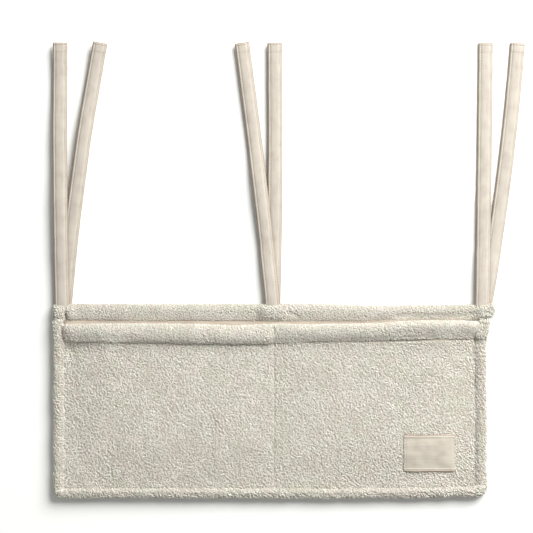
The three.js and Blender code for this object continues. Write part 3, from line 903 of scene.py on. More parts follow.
def hem_surface(u, v):
    """The middle of the top hem, by its place across and its length from the edge that is folded under."""
    base_y = hem_y(v)
    over = np.maximum(np.abs(u) - hem_turn_x, 0)
    u = np.sign(u) * (np.minimum(np.abs(u), hem_turn_x) + end_round * smooth(over / end_round_run))
    upward = np.clip((base_y - hem_edge_y) / (top_y - hem_edge_y), 0, 1)
    y = base_y + hem_edge_wave(u) * (1 - upward) + top_wave(u) * upward
    full = ramp(base_y, *full_from) * ramp(base_y, *full_to)
    tab = smooth((tab_x - u) / tab_step) * tab_height
    creases = sum(depth * crease(u, base_y, start, end, reach) for start, end, reach, depth in hem_creases)
    thin = worn_depth * worn(u) * ramp(base_y, *worn_y)
    lift = over_straps(u) - over_middle_straps(u) * (1 - ramp(base_y, *middle_lift_y))
    raised = hem_lift_height * lift + tab + lumps(u, base_y + hem_lumps_away) - creases
    loose = loose_height * over_middle_straps(u) * ramp(base_y, *loose_y)
    height = hem_z(v) + full * raised + loose * (1 - full) - thin
    closed = ramp(over, *closing)
    return on_panel(u, y, height * (1 - closed) + closed_z * closed)


hem_turns = [-hem_turn_x, hem_turn_x]
hem_us = stations(-hem_half_cut, hem_half_cut, step=1.5, fine=hem_turns, fine_step=0.9, reach=7)
hem_vs = stations(0, hem_length, step=1.3)
top_hem = cloth_sheet("rolled_top_hem", hem_us, hem_vs, hem_surface, hem_thickness, ground)
print("top hem: cut", round(2 * hem_half_cut), "by", round(hem_length), "mm")

# %% [markdown]
# ## The edge bindings
# Each raw edge is wrapped in a strip of the same boucle. In section the strip is a fat letter C: it leaves
# the seam groove, rolls over the edge and comes back along the rear face. One section, carried along a path,
# makes all three strips; the bottom one also turns both corners, the right one wider than the left.

# %% The shape of the bindings
binding_thickness = 1.5
binding_section = [
    (-0.8, 7.4),
    (1.0, 8.7),
    (3.8, 9.9),
    (7.0, 10.2),
    (9.2, 9.6),
    (10.6, 7.4),
    (10.7, 4.4),
    (9.2, 1.7),
    (6.0, 0.8),
    (0.5, 0.8),
]
binding_length, binding_a, binding_z = along_path(binding_section)
binding_overlap = 0.6
binding_top_y = hem_edge_y + binding_overlap
climb_height = {-1: 1.3, 1: 4.1}
climb_run = 5
top_fall, top_fall_run = 2.2, 4.5
front_face_z = (2, 7)
roll_lump_height, roll_lump_size = 0.45, 9
roll_wobble, roll_wobble_size = 0.7, 12
bottom_rise, bottom_rise_place, bottom_rise_reach = 1.7, 2.5, 2.2
bottom_fall, bottom_fall_run = 0.2, (7.5, 10.5)
outer_wave_height, inner_wave_height, wave_fade = 30, 40, 25
bottom_drawn_up = 1.5
side_names = {-1: "left", 1: "right"}
side_lows = {side: bottom_y + radius for side, radius in corner_radius.items()}
straight_run = 2 * half_width - corner_radius[-1] - corner_radius[1]
bottom_run = [corner_radius[-1] * math.pi / 2, straight_run, corner_radius[1] * math.pi / 2]


def binding_climb(side, y):
    """The side bindings climb over the ends of the hem band, and round off at their own top."""
    climb = smooth((y - band_edge_y - band_edge_wave(side * seam_x)) / climb_run)
    return climb_height[side] * climb - top_fall * smooth((y - binding_top_y) / top_fall_run + 1) ** 2


def wrapped(outer, inner, v, climb):
    """A binding between the seam, inner, and the edge, outer, by the length round its section."""
    share = binding_a(v) / binding_width
    place = inner + (outer - inner) * share[:, None]
    front = ramp(binding_z(v), *front_face_z)
    uneven = roll_lump_height * ripple(place[:, 0] + place[:, 1], v, roll_lump_size) * front
    wobble = roll_wobble * ripple(place[:, 0], place[:, 1], roll_wobble_size)
    place = place + (outer - inner) / binding_width * wobble[:, None]
    return on_panel(place[:, 0], place[:, 1], binding_z(v) + front * climb + uneven)


def side_surface(side):
    """The surface of a side binding, by its place up the side and the length round its section."""

    def surface(u, v):
        outer = np.column_stack([np.full_like(u, side * half_width), u])
        inner = np.column_stack([np.full_like(u, side * seam_x), u])
        return wrapped(outer, inner, v, binding_climb(side, u))

    return surface


def bottom_surface(u, v):
    """The bottom binding, by its place along the edge from the left side round both corners."""
    left, right = corner_radius[-1], corner_radius[1]
    before = np.clip(u, 0, bottom_run[0]) / left
    after = np.clip(u - bottom_run[0] - bottom_run[1], 0, bottom_run[2]) / right
    turn = math.pi + before + after
    outward = np.column_stack([np.cos(turn), np.sin(turn)])
    along = np.clip(u - bottom_run[0], 0, bottom_run[1])
    radius = np.where(after > 0, right, left)
    centre = np.column_stack([-half_width + left + along, bottom_y + radius])
    outer = centre + radius[:, None] * outward
    inner = outer - binding_width * outward
    inner[:, 0] = np.clip(inner[:, 0], -seam_x, seam_x)
    inner[:, 1] = np.maximum(inner[:, 1], bottom_seam_y)
    outer_low = smooth((bottom_y + outer_wave_height - outer[:, 1]) / wave_fade)
    inner_low = smooth((bottom_y + inner_wave_height - inner[:, 1]) / wave_fade)
    outer[:, 1] += (bottom_wave(outer[:, 0]) + bottom_drawn_up) * outer_low
    inner[:, 1] += bottom_wave(inner[:, 0]) * inner_low
    rise = bottom_rise * dent(binding_a(v) - bottom_rise_place, bottom_rise_reach)
    return wrapped(outer, inner, v, rise - bottom_fall * ramp(binding_a(v), *bottom_fall_run))


binding_vs = stations(0, binding_length, step=1.5)
bindings = {}
for side, word in side_names.items():
    side_us = stations(side_lows[side], binding_top_y, step=2.5)
    bindings[word] = cloth_sheet(
        f"{word}_edge_roll", side_us, binding_vs, side_surface(side), binding_thickness, ground
    )
corner_lengths = [6, sum(bottom_run) - 12]
bottom_us = stations(0, sum(bottom_run), step=3.0, fine=corner_lengths, fine_step=1.3, reach=16)
bindings["bottom"] = cloth_sheet(
    "bottom_edge_roll", bottom_us, binding_vs, bottom_surface, binding_thickness, ground
)
print("bindings cut", round(binding_length), "mm wide, the bottom one", round(sum(bottom_run)), "mm long")

# %% [markdown]
# ## The back panel and the linings
# The back panel is one flat width of boucle, pressed thinner where the bindings wrap it. The two linings are
# thin calico. A strip of the back lining shows between the hem and the mouth of the pockets.

# %% Back panel and linings
back_thickness = 2.4
lining_thickness = 0.6
lining_overlap = 12
lining_top_y = hem_edge_y + lining_overlap
pocket_lining_top_y = fold_y - 1.5
back_z, pressed_height, press_margin, press_run = 1.3, 1.5, 2, 4
hem_corner, hem_corner_out = (8, 2), 1.6
top_wave_y = (100, 124)
back_lining_z, pocket_lining_z = 3.25, 4.15
lining_slack, lining_slack_size, lining_slack_y = 0.25, 23, (60, 90)
strip_rise = {"everywhere": 1.0, "worn": 0.8, "middle": 1.3}
strip_from_y = (88, 96)
hem_foot_y, hem_foot_worn, hem_foot_margin, hem_foot_run = 102.9, 6, 0.6, 2.2


def back_surface(u, v):
    """The middle of the back panel, a little wider under the hem, whose ends it carries."""
    x, y = rounded_corner(u, v, cloth_x, cloth_bottom_y, cloth_margin)
    at_side = smooth((np.abs(u) - seam_x + press_margin) / press_run)
    at_bottom = smooth((bottom_seam_y + press_margin - v) / press_run)
    pressed = np.maximum(at_side, at_bottom) * smooth((binding_top_y + press_run - v) / press_run)
    under_hem = smooth((y - binding_top_y) / press_run) * ramp(cloth_x - np.abs(x), *hem_corner)
    x = x + hem_corner_out * np.sign(x) * under_hem
    return on_panel(x, y + top_wave(x) * ramp(y, *top_wave_y), back_z + pressed_height * pressed)


def back_lining_surface(u, v):
    """The middle of the back lining, which rises into the strip that shows below the hem."""
    x, y = rounded_corner(u, v, seam_x, bottom_seam_y, cloth_margin)
    slack = lining_slack * ripple(x, y, lining_slack_size) * ramp(y, *lining_slack_y)
    hem_foot = hem_foot_y + hem_edge_wave(x) + hem_foot_worn * worn(x)
    under_hem = smooth((y - hem_foot + hem_foot_margin) / hem_foot_run)
    height = strip_rise["everywhere"] + strip_rise["worn"] * worn(x)
    height = height + strip_rise["middle"] * over_middle_straps(x)
    return on_panel(x, y, back_lining_z + slack + height * ramp(y, *strip_from_y) * (1 - under_hem))


def pocket_lining_surface(u, v):
    x, y = rounded_corner(u, v, seam_x, bottom_seam_y, cloth_margin)
    return on_panel(x, y, pocket_lining_z + crown(x, y))


back_us = stations(-cloth_x, cloth_x, step=4.0, fine=[-seam_x, seam_x], fine_step=1.5)
back_vs = stations(cloth_bottom_y, top_y - 1, step=4.0, fine=[bottom_seam_y], fine_step=1.5)
back_panel = cloth_sheet("back_panel_cloth", back_us, back_vs, back_surface, back_thickness, ground)
lining_us = stations(-seam_x, seam_x, step=5.0)
lining_vs = stations(bottom_seam_y, lining_top_y, step=5.0, fine=[hem_edge_y], fine_step=0.9, reach=14)
pocket_lining_vs = stations(bottom_seam_y, pocket_lining_top_y, step=5.0)
back_lining = cloth_sheet(
    "back_lining_cloth", lining_us, lining_vs, back_lining_surface, lining_thickness, calico
)
pocket_lining = cloth_sheet(
    "pocket_lining_cloth", lining_us, pocket_lining_vs, pocket_lining_surface, lining_thickness, calico
)
print("points:", [len(made.data.vertices) for made in (back_panel, back_lining, pocket_lining)])

# %% [markdown]
# ## The label
# A short length of woven tape lies on the right pocket. Its two ends are folded under, which makes them
# thicker, and one row of stitches runs round it and pulls its rim down into the pile. Its face is left bare.

# %% The label
label_low, label_high = corners("label")
label_middle = (label_low + label_high) / 2
label_size = label_high - label_low
label_thickness = 0.6
label_lift = 1.5
label_inset = 1.7
label_fold, label_folded = 0.55, (4.2, 3.4)
label_pull, label_pull_reach = 0.55, 0.9
label_rim, label_rim_width = 0.5, 1.2
label_ripple, label_ripple_size = 0.4, 15
label_slack, label_slack_run = 0.7, 14
edge_ripple, edge_ripple_size = 0.35, 12
side_ripple_from, side_ripple_row = (24, 32), 3
end_ripple_from, end_ripple_row = (16, 23), 9
# Painted shade along the label's folded ends and its left edge.
end_painted_shade, end_painted_shade_width = 0.9, 1.5
left_painted_shade, left_painted_shade_width = 0.4, 0.9


def pocket_top(x, y):
    """The top of the ground cloth of the pocket front, below its band."""
    lumpy = crown(x, y) + lumps(x, y) - seam_dents(x, y)
    return pocket_z + pile_thickness / 2 + lumpy


def label_surface(u, v):
    """The middle of the label, by its place from its own middle."""
    x, y = label_middle[0] + u, label_middle[1] + v
    from_end = label_size[1] / 2 - np.abs(v)
    from_side = label_size[0] / 2 - np.abs(u)
    from_rim = np.minimum(from_end, from_side)
    folded = label_fold * ramp(from_end, *label_folded)
    pulled = [dent(distance - label_inset, label_pull_reach) for distance in (from_end, from_side)]
    sewn = label_pull * np.maximum(*pulled)
    rim = label_rim * smooth(1 - from_rim / label_rim_width)
    slack = label_ripple * ripple(u, v, label_ripple_size) + label_slack * smooth(from_rim / label_slack_run)
    wave_x = edge_ripple * ripple(v, side_ripple_row, edge_ripple_size) * ramp(np.abs(u), *side_ripple_from)
    wave_y = edge_ripple * ripple(u, end_ripple_row, edge_ripple_size) * ramp(np.abs(v), *end_ripple_from)
    height = pocket_top(x, y) + label_lift + folded - sewn - rim + slack
    return np.stack([x + wave_x, y + wave_y, height], axis=-1)


def label_painted_shade(u, v):
    """Painted shade along the folds at the top and the bottom of the label, and along its left edge."""
    from_end = label_size[1] / 2 - np.abs(v)
    from_left = u + label_size[0] / 2
    at_end = end_painted_shade * smooth(1 - from_end / end_painted_shade_width)
    return at_end + left_painted_shade * smooth(1 - from_left / left_painted_shade_width)


label_fine = [[-size / 2, size / 2] for size in label_size[:2]]
label_us = stations(*label_fine[0], step=1.4, fine=label_fine[0], fine_step=0.5, reach=3)
label_vs = stations(*label_fine[1], step=1.4, fine=label_fine[1], fine_step=0.5, reach=5)
label = cloth_sheet(
    "folded_label", label_us, label_vs, label_surface, label_thickness, label_cotton, label_painted_shade
)
print("label", np.round(label_size[:2], 1), "mm at", np.round(label_middle[:2], 1))

# %% [markdown]
# ## The pile
# The loops are laid over every outer face of boucle in pieces of under two hundred thousand triangles. None
# are laid under the label. The back panel, whose face rests on the table, has fewer.

# %% Loops over the pocket front
label_clear = 1.2
# Where the pile is left off along the band's foot, the bare knit is a line of painted shade.
bare_line_place, bare_line_reach = 0.2, 2.2


def clear_of_label(stands, u, v):
    """No loops under the label, and none where the seam of the band presses the pile at the right; there the
    bare knit, darker than the yarn, is painted shade along the band's foot.
    """
    away = np.abs(stands[:, :2] - label_middle[:2]) - label_size[:2] / 2
    from_foot = np.abs(stands[:, 1] - foot_line(u) - bare_line_place)
    return (away.max(axis=1) > -label_clear) & ~(from_foot < bare_line_reach * right_of_divider(u))


loop_sink = 0.5
front_lift = pile_thickness / 2 - loop_sink
first_row, rows_left_out = 2, 14
row_run = front_length - rows_left_out
row_thirds = [(first_row + i * row_run / 3, first_row + (i + 1) * row_run / 3) for i in range(3)]
rim_clear, band_rim_clear = 6, 2
piles = {"pocket": [], "hem": [], "left": [], "right": [], "bottom": [], "back": []}
seed = 10


def half_span(word, rim):
    """One half of the front, without a rim along its outer side."""
    return (-cloth_x + rim, divider_x) if word == "left" else (divider_x, cloth_x - rim)


pocket_style = {"lift": front_lift, "keep": clear_of_label, "wild": 0.92}
for word in ("left", "right"):
    for height, span_v in zip(("lower", "middle", "upper"), row_thirds):
        seed += 1
        name = f"{word}_pocket_{height}_pile"
        span_u = half_span(word, rim_clear)
        piles["pocket"].append(pile(name, pocket_surface, span_u, span_v, seed=seed, **pocket_style))
band_span = (front_length + 0.5, front_length + band_length - 2)
band_style = {"lift": front_lift, "side": -1, "mirror": -1, "loosen": 0.86, "size": 0.92, "wild": 0.85}
for word in ("left", "right"):
    seed += 1
    name = f"{word}_band_pile"
    span_u = half_span(word, band_rim_clear)
    piles["pocket"].append(pile(name, pocket_surface, span_u, band_span, seed=seed, **band_style))
print("pieces of pile on the pocket front:", len(piles["pocket"]))

# %% Loops over the hem, the bindings and the back
hem_loop_size = {"foot": 0.58, "full": 0.34, "tab and middle": 0.14}
hem_loops_full = (103, 110)
middle_tack, middle_tack_reach = 8, (17, 13)
tab_loops = (257, 261)
crease_bare = 0.35
sparse_y, sparse_share = (109, 104), 1.5
sparse_stretch, sparse_size = (3, 7), 5


def hem_loops(u, v):
    """The loops of the hem are small at its lower edge, and large on the tab and over the middle straps."""
    foot = hem_loop_size["foot"] + hem_loop_size["full"] * ramp(hem_y(v), *hem_loops_full)
    tack = ramp(np.abs(u - middle_tack), *middle_tack_reach)
    return foot + hem_loop_size["tab and middle"] * np.maximum(tack, ramp(np.abs(u), *tab_loops))


def clear_of_creases(stands, u, v):
    """No loops in the crease beside the tab, where the bare knit adds painted shade to the fold's own, and
    few on the lower edge where it is worn.
    """
    start, end, reach, depth = tab_crease
    bare = crease(u, hem_y(v), start, end, reach)
    sparse = sparse_share * worn(u) * ramp(hem_y(v), *sparse_y)
    noise = ripple(u * sparse_stretch[0], v * sparse_stretch[1], sparse_size)
    return (bare < crease_bare) & (noise > sparse - 1)


hem_span = (5.0, hem_length - 0.5)
hem_reach = (-hem_half_cut + 1, hem_half_cut - 1)
hem_style = {"lift": 0.5, "keep": clear_of_creases, "loosen": 0.86, "size": hem_loops, "wild": 0.6}
piles["hem"].append(pile("top_hem_pile", hem_surface, hem_reach, hem_span, seed=21, **hem_style))
roll_span = (0.3, 24.5)
roll_lift = 0.4
side_seed = 30
for side, word in side_names.items():
    upright = (side_lows[side], binding_top_y)
    style = {"side": -side, "mirror": side, "seed": side_seed + side}
    piles[word].append(
        pile(f"{word}_edge_pile", side_surface(side), upright, roll_span, roll_lift, **style)
    )
along_bottom = (0, sum(bottom_run))
bottom_style = {"side": -1, "mirror": -1, "seed": 33, "wild": 1.15}
piles["bottom"].append(
    pile("bottom_edge_pile", bottom_surface, along_bottom, roll_span, roll_lift, **bottom_style)
)
back_style = {"lift": 0.7, "side": -1, "mirror": -1, "loosen": 1.75, "size": 1.25}
for word, span_v in (("lower", (bottom_seam_y, 0)), ("upper", (0, top_y - 3))):
    seed += 1
    name = f"back_{word}_pile"
    piles["back"].append(pile(name, back_surface, (-seam_x, seam_x), span_v, seed=seed, **back_style))
print("pile pieces:", sum(len(made) for made in piles.values()))

# %% [markdown]
# ## The straps
# Six straps of folded cotton are sewn in behind the hem, in three pairs. In section a strap is a flat band
# with a soft middle, a groove where a row of stitches runs inside each long edge, and a round ridge outside
# it. That section is a circle of points, drawn out along the strap by one spin without a turn, and then laid
# along the strap's own slightly bent line. At the tip the cloth is folded over, so it is thicker there.

# %% The line of each strap
strap_reach = 330
hinge_height, root_depth = 20, 8
hinge_y = top_y + hinge_height
tip_y = top_y + strap_reach
root_y = hem_edge_y + root_depth
settle, settle_from = 50, 8
strap_thickness = 2.5
strap_slack = {"left": 5.0, "centre": 3.2, "right": -0.9}
slack_share, slack_uneven, slack_size = 0.75, 0.5, 70
layer_noise = {"front": 5, "back": 4}
hem_under, over_back_strap, clear_gap = 2.9, 2.4, 2
slope_run = 40
strap_wave, strap_wave_size, strap_wave_row, strap_wave_run = 0.35, 60, 7, 60
seam_inset = 2.5
fold_length = 13.0
strap_lines = {
    "left": {"front": (0.5, -2.3, -1.9), "back": (3.6, 21.8, 49)},
    "centre": {"front": (0, -17.7, -38.9), "back": (0.8, 3.4, 2.7)},
    "right": {"front": (-0.6, 2.0, 3.9), "back": (3, 27.8, 44.7)},
}


def strap_middle(pair, layer, y):
    """The middle line of a strap: a parabola through its root, its middle and its tip."""
    root, middle, tip = strap_lines[pair][layer]
    t = np.maximum(0, (y - top_y) / strap_reach)
    bend = 2 * tip - 4 * middle + 2 * root
    slope = 4 * middle - 3 * root - tip
    return pair_places[pair] + root + slope * t + bend * t * t


def strap_under(pair, layer, y):
    """How high the underside of a strap lies: down from the hem, and off the back strap once they part."""
    free = smooth((y - hinge_y - settle_from) / settle)
    uneven = slack_uneven * ripple(y, pair_places[pair] + layer_noise[layer], slack_size)
    under = hem_under * (1 - free) + strap_slack[pair] * free * (slack_share + uneven)
    if layer == "back":
        return under
    along = np.arange(hinge_y, tip_y)
    between = np.abs(strap_middle(pair, "back", along) - strap_middle(pair, "front", along))
    apart = between > strap_width + clear_gap
    parting = along[np.argmax(apart)] if apart.any() else tip_y - settle
    return under + over_back_strap * (1 - smooth((y - parting) / settle))


def strap_place(pair, layer, a, y, b):
    """A point of a strap: a across it from its middle line, y along it and b above its underside."""
    middle = strap_middle(pair, layer, y)
    slope = (strap_middle(pair, layer, y + 1) - strap_middle(pair, layer, y - 1)) / 2
    slope = slope * smooth((y - top_y) / slope_run)
    square = 1 / np.hypot(1, slope)
    wave = strap_wave * ripple(y, strap_wave_row + pair_places[pair], strap_wave_size)
    x = middle + a * square + wave * smooth((y - hinge_y) / strap_wave_run)
    return np.stack([x, y - a * slope * square, strap_under(pair, layer, y) + b], axis=-1)


print("straps reach from", round(root_y, 1), "to", round(tip_y, 1), "mm")

# %% [markdown]
# A strap's section is given by its columns from the middle to one edge. Its top is a low arch with a ridge
# and a groove along each edge. Each of these has a height or a depth, a place and a reach.

# %% The shape of a strap
strap_columns = [0, 1.6, 3.4, 4.9, 5.7, 6.2, 6.8, 7.6, 8.7, 9.4]
strap_top = [-a for a in strap_columns[:0:-1]] + strap_columns
strap_bottom = [9.0, 4, -4, -9.0]
strap_section = [(a, 1) for a in strap_top] + [(a, 0) for a in strap_bottom]
seam_a = strap_width / 2 - seam_inset
arch_height, arch_half_width = 1.9, 9.2
ridge_height, ridge_place, ridge_reach = 0.35, 1.1, 0.7
groove_depth, groove_reach = 0.65, 0.6
edge_drop, edge_a = 1.5, (7.7, 9.2)
fold_height, fold_step = 0.4, 2.6
tip_ridge, tip_ridge_place, tip_groove, tip_groove_place, tip_reach = 0.35, 2.0, 0.2, 3.3, 0.8
tip_round, tip_flat, tip_lift, tip_narrow = 1.6, 0.62, 0.5, 0.05
root_narrow, root_narrow_y = 0.12, (122, 118)
edge_ripple_height, edge_ripple_row, strap_ripple_size = 0.18, 31, 9
crease_patch, crease_patch_size, crease_patch_limit = 2.2, 34, 0.4
puff_height, puff_size = 0.13, 11
crinkle_height, crinkle_size, crinkle_slant, crinkle_row = 0.3, 2.6, 0.4, 5
# Painted shade on the back strap where it lies beside the front strap's edge.
gap_painted_shade, gap_painted_shade_reach = 0.5, 3.2
tip_brown = (1.7, 0.8)
# Painted shade on the side walls of each strap.
rim_painted_shade, rim_painted_shade_a = 0.675, (7.7, 8.9)
section_height = 1.5
fold_ease = 2
far_step, hinge_step, tip_step, tip_fine_step = 4, 1.3, 0.9, 0.4


def strap_height(a):
    """How high the top of a strap stands over its underside, from edge to edge."""
    arch = arch_height * (1 - (a / arch_half_width) ** 2).clip(0, 1)
    ridge = ridge_height * dent(np.abs(a) - seam_a - ridge_place, ridge_reach)
    groove = groove_depth * dent(np.abs(a) - seam_a, groove_reach)
    return strap_thickness + arch + ridge - groove - edge_drop * ramp(np.abs(a), *edge_a)


def tip_fold(y):
    """How much thicker a strap is where its end is folded over."""
    from_tip = tip_y - y
    ridge = tip_ridge * dent(from_tip - tip_ridge_place, tip_reach)
    groove = tip_groove * dent(from_tip - tip_groove_place, tip_reach)
    return fold_height * smooth((fold_length - from_tip) / fold_step) + ridge - groove


def strap_mesh(name, count, rows):
    """A closed tube of count points round and so many rows along, one unit apart."""
    bm = bmesh.new()
    ring = bmesh.ops.create_circle(bm, segments=count, radius=1)["verts"]
    bmesh.ops.rotate(bm, verts=ring, cent=(0, 0, 0), matrix=Matrix.Rotation(math.pi / 2, 3, "X"))
    bmesh.ops.spin(
        bm, geom=bm.edges[:], cent=(0, 0, 0), axis=(0, 1, 0), dvec=(0, 1, 0), angle=0, steps=rows - 1
    )
    bmesh.ops.holes_fill(bm, edges=[edge for edge in bm.edges if edge.is_boundary], sides=0)
    bmesh.ops.recalc_face_normals(bm, faces=bm.faces)
    mesh = bpy.data.meshes.new(name)
    bm.to_mesh(mesh)
    bm.free()
    return mesh


def cut_round(mesh, around, y):
    """The cut lengths of a strap's corners: the way round its section, and along it."""
    count = len(strap_section)
    steps = np.diff(np.array(strap_section) * [1, section_height], axis=0)
    girth = np.concatenate([[0], np.cumsum(np.linalg.norm(steps, axis=1))])
    girth = np.append(girth, girth[-1] + section_height)
    corner = point_of_corners(mesh)
    turn = around[corner]
    for polygon in mesh.polygons:
        part = turn[polygon.loop_start : polygon.loop_start + polygon.loop_total]
        if part.max() - part.min() > count / 2 and polygon.loop_total == 4:
            part[part < count / 2] = count
    return np.column_stack([girth[turn], y[corner]])


def strap(pair, layer):
    """One strap, from inside the hem to its folded tip, as one closed mesh."""
    fold_start_y = tip_y - fold_length - fold_ease
    rows = np.concatenate(
        [
            stations(root_y, fold_start_y, far_step, [hinge_y + 4], hinge_step, reach=8)[:-1],
            stations(fold_start_y, tip_y, tip_step, [tip_y], tip_fine_step, reach=4.4),
        ]
    )
    count = len(strap_section)
    mesh = strap_mesh(f"{layer}_strap_{pair}", count, len(rows))
    drawn = drawn_points(mesh)
    around = np.round(np.arctan2(drawn[:, 0], drawn[:, 2]) / math.tau * count).astype(int) % count
    y = rows[np.round(drawn[:, 1]).astype(int)]
    a, on_top = np.array(strap_section)[around].T
    from_tip = tip_y - y
    tip = smooth(1 - from_tip / tip_round)
    b = on_top * (strap_height(a) + tip_fold(y)) * (1 - tip_flat * tip) + tip_lift * tip
    a = a * (1 - tip_narrow * tip) * (1 - root_narrow * ramp(y, *root_narrow_y))
    edge_wave = edge_ripple_height * ripple(y, edge_ripple_row * np.sign(a), strap_ripple_size)
    patch_row = pair_places[pair] + 3 * layer_noise[layer]
    creased = smooth(crease_patch * ripple(y, patch_row, crease_patch_size) - crease_patch_limit)
    crinkle = crinkle_height * creased * ripple(y + crinkle_slant * a, crinkle_row, crinkle_size)
    puff = (puff_height * ripple(y, a * 2, puff_size) + crinkle) * on_top
    laid = strap_place(pair, layer, a + edge_wave, y, b + puff)
    # Painted shade on the back strap along the front strap's edge.
    beside = np.abs(laid[:, 0] - strap_middle(pair, "front", y)) - strap_width / 2
    gap_shade = gap_painted_shade * smooth(1 - np.abs(beside) / gap_painted_shade_reach) * (layer == "back")
    # Painted shade on the strap's side walls.
    rim_shade = rim_painted_shade * ramp(np.abs(a), *rim_painted_shade_a)
    # The tip's brown is the cut edge's own colour; the gap and the rims are painted shade.
    brown_and_painted_shade = np.maximum(np.maximum(gap_shade, ramp(from_tip, *tip_brown)), rim_shade)
    lay(mesh, laid, cut_round(mesh, around, y), brown_and_painted_shade)
    return new_piece(mesh.name, mesh, strap_cotton)


print("a strap has", len(strap_section), "points round its section")


# %% All six straps and their stitches
row_step = 1.5
stitch_rise = 0.12
first_stitch = 3
past_corner = 0.1
points_across = 9


def strap_stitches(pair, layer):
    """A row up one edge, across the fold at the tip and down the other edge."""
    rows = np.arange(hinge_y + first_stitch, tip_y - seam_inset + past_corner, row_step)
    high = strap_height(np.array([seam_a]))[0] + stitch_rise
    lines = []
    for a in (-seam_a, seam_a):
        lines.append(strap_place(pair, layer, a + 0 * rows, rows, high + tip_fold(rows)))
    across = np.linspace(-seam_a, seam_a, points_across)
    across_y = tip_y - seam_inset + 0 * across
    lines.append(strap_place(pair, layer, across, across_y, strap_height(across) + tip_fold(across_y)))
    ups = [np.tile([0.0, 0.0, 1.0], (len(line), 1)) for line in lines]
    return stitch_row(f"{layer}_strap_stitches_{pair}", lines, ups)


strap_pieces = []
for pair in strap_lines:
    for layer in ("front", "back"):
        strap_pieces.append((pair, layer, strap(pair, layer), strap_stitches(pair, layer)))
print("straps:", len(strap_pieces))

# %% [markdown]
# ## Seams in the boucle
# The seams of the panel are sewn through the pile, so their stitches lie at the foot of the loops and only
# glint here and there. Each row follows the cloth that it holds.

# %% Stitches of the panel
line_step = 2.0
pocket_stitch_lift, hem_stitch_lift, roll_stitch_lift = 1.4, 1.3, 0.9
hem_seam_inset, roll_seam_inset = 3.5, 3
front_end, hem_end, side_end, divider_end = 1, 3, 2, 2
outer_band, outer_hem, outer_roll = (8, band_length - 4), (6, hem_length), (0, 8)
divider_over = (2.0, band_length - 5)
tries = 200


def seam_along(surface, u, v, side, lift):
    """A line of points over one side of a surface, and the normals there."""
    place, across, along, normal = lie_of(surface, u, v, side)
    return place + normal * lift, normal


def place_on(path, target, low, high):
    """The length along a path's outer side at which it passes a place."""
    lengths = np.linspace(low, high, tries)
    return lengths[np.argmin(np.abs(path(lengths) - target))]


seams = {}
reach = np.arange(-seam_x + front_end, seam_x - front_end, line_step)
band_v = front_length + place_on(band_y, band_seam_y, *outer_band)
seams["pocket_hem_stitching"] = [
    seam_along(pocket_surface, reach, band_v + 0 * reach, -1, pocket_stitch_lift)
]
hem_v = place_on(hem_y, hem_edge_y + hem_seam_inset, *outer_hem)
reach = np.arange(-half_width + hem_end, half_width - hem_end, line_step)
seams["top_hem_stitching"] = [seam_along(hem_surface, reach, hem_v + 0 * reach, 1, hem_stitch_lift)]
roll_v = place_on(binding_a, roll_seam_inset, *outer_roll)
for side, word in side_names.items():
    upright = np.arange(side_lows[side], hem_edge_y - side_end, line_step)
    line = seam_along(side_surface(side), upright, roll_v + 0 * upright, -side, roll_stitch_lift)
    seams[f"{word}_edge_stitching"] = [line]
along = np.arange(bottom_run[0], bottom_run[0] + bottom_run[1], line_step)
seams["bottom_edge_stitching"] = [
    seam_along(bottom_surface, along, roll_v + 0 * along, -1, roll_stitch_lift)
]
climb = np.arange(bottom_seam_y - cloth_bottom_y + divider_end, front_length - divider_end, line_step)
over = front_length + np.arange(*divider_over, line_step)
seams["divider_stitching"] = [
    seam_along(pocket_surface, divider_x + 0 * climb, climb, 1, pocket_stitch_lift),
    seam_along(pocket_surface, divider_x + 0 * over, over, -1, pocket_stitch_lift),
]
stitch_pieces = {}
for node, lines in seams.items():
    stitch_pieces[node] = stitch_row(node.replace("_stitching", "_seam"), *zip(*lines))

# %% The box of stitches over each pair of straps, and the row round the label
tack_width, tack_height, tack_inset = 11, 9, 3.5
tack_lift, tack_from_end = 1.35, 8
label_stitch_lift = 0.35
points_each_side, points_on_face = 24, 80
tack_foot_y = 105


def box_lines(low, high):
    """The four sides of an upright box as rows of points."""
    (x0, y0), (x1, y1) = low, high
    ring = [(x0, y0), (x1, y0), (x1, y1), (x0, y1), (x0, y0)]
    share = np.linspace(0, 1, points_each_side)[:, None]
    return [np.array(a) + (np.array(b) - np.array(a)) * share for a, b in zip(ring, ring[1:])]


face_v = np.linspace(place_on(hem_y, tack_foot_y, *outer_hem), hem_length, points_on_face)
for pair, place in pair_places.items():
    middle = place + (strap_lines[pair]["front"][0] + strap_lines[pair]["back"][0]) / 2
    middle = np.clip(middle, -half_width + tack_from_end, half_width - tack_from_end)
    high_y = top_y - tack_inset
    box = box_lines((middle - tack_width / 2, high_y - tack_height), (middle + tack_width / 2, high_y))
    face = [np.interp(line[:, 1], hem_y(face_v), face_v) for line in box]
    lines = [seam_along(hem_surface, line[:, 0], v, 1, tack_lift) for line, v in zip(box, face)]
    stitch_pieces[f"{pair}_tie_tack"] = stitch_row(f"{pair}_strap_tack", *zip(*lines))

half_label = label_size[:2] / 2 - label_inset
box = box_lines(-half_label, half_label)
lines = [seam_along(label_surface, line[:, 0], line[:, 1], 1, label_stitch_lift) for line in box]
stitch_pieces["label_stitching"] = stitch_row("label_seam", *zip(*lines))
print("rows of stitches:", len(stitch_pieces))

# %% [markdown]
# ## Riding on the frame
# Everything sewn to the panel rides on it, except the straps and their stitches, which are kept where they
# are drawn. The solids that each piece stands for are hidden, and the sizes that the hem and the bindings
# were cut to are worked out.

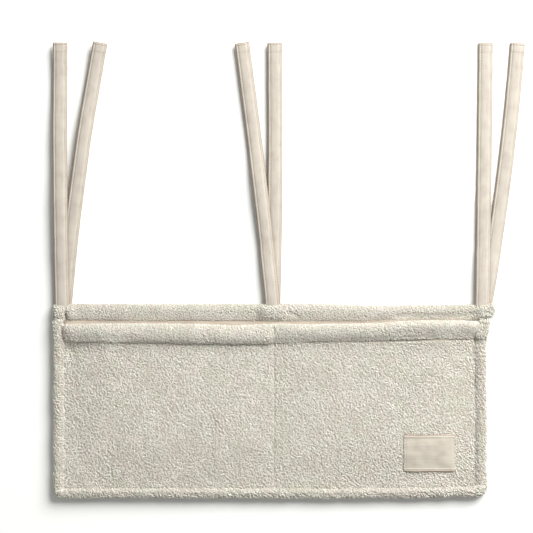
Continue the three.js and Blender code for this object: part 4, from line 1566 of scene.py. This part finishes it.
# %% What each piece stands for
pile_pieces = [made for group in piles.values() for made in group]
cloths = {
    "pocket_front": pocket_front,
    "top_hem": top_hem,
    "back_panel": back_panel,
    "back_lining": back_lining,
    "pocket_lining": pocket_lining,
    "label": label,
}
for made in [*cloths.values(), *bindings.values(), *pile_pieces, *stitch_pieces.values()]:
    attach(made, "panel")
for node, made in cloths.items():
    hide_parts(node)
for word, made in bindings.items():
    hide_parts(f"{word}_edge_binding")
for node, made in stitch_pieces.items():
    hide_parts(node)

for pair, layer, band, seam in strap_pieces:
    body = f"{layer}_tie_{pair}"
    middle = float(strap_middle(pair, layer, hinge_y)) * mm
    for made in (band, seam):
        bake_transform(made)
    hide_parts(f"{layer}_tie_root_{pair}", body)
    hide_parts(f"{layer}_tie_stitching_{pair}")
print("straps that bend:", len(strap_pieces))


# %% The size each cloth was cut to
def cut_size(wide, tall):
    return (float(wide) * mm, float(tall) * mm)


cut_size(2 * hem_half_cut, hem_length)
binding_runs = {word: binding_top_y - side_lows[side] for side, word in side_names.items()}
binding_runs["bottom"] = sum(bottom_run)
for word, made in bindings.items():
    length = binding_runs[word]
    cut_size(binding_length, length)
print("sheets:", len(cloths) + len(bindings) + len(strap_pieces))

# %% [markdown]
# ## Floor and light
# The floor is a plain white board. One big soft light stands to the upper right and low enough to give the
# loops their grain, and a pale sky fills the shadows. Together they take the open floor just past white.

# %% Floor
floor_size = 12.0
floor_height = -1.8 * mm
floor_bm = bmesh.new()
bmesh.ops.create_grid(floor_bm, x_segments=1, y_segments=1, size=floor_size / 2)
floor_mesh = bpy.data.meshes.new("white_board")
floor_bm.to_mesh(floor_mesh)
floor_bm.free()
board, board_shader = new_material("matt white board", roughness=0.9)
board_shader.inputs["Base Color"].default_value = linear("#FCFDF9")
board_shader.inputs["Specular IOR Level"].default_value = 0.2
floor = new_piece("floor", floor_mesh, board)
floor.location.z = floor_height
print("the floor lies at", round(floor_height / mm, 1), "mm")

# %% Light
sky_colour = (1, 1, 1, 1)
sky_strength = 0.31
box_place = (1.34, 1.78, 1.65)
box_size = 2.2
box_power = 137
aim_off_centre = 0.1

world = bpy.data.worlds.new("pale_sky")
world.use_nodes = True
sky = world.node_tree.nodes["Background"]
sky.inputs["Color"].default_value = sky_colour
sky.inputs["Strength"].default_value = sky_strength
bpy.context.scene.world = world

light_data = bpy.data.lights.new("soft_box", "AREA")
light_data.shape = "DISK"
light_data.size = box_size
light_data.energy = box_power
light = bpy.data.objects.new("soft_box", light_data)
light.location = box_place
bpy.context.scene.collection.objects.link(light)
aim = light.location.copy()
aim.y -= aim_off_centre
light.rotation_euler = aim.to_track_quat("Z", "Y").to_euler()
bpy.context.scene.view_settings.view_transform = "Standard"
print("the light stands", round(light.location.length, 2), "m away")
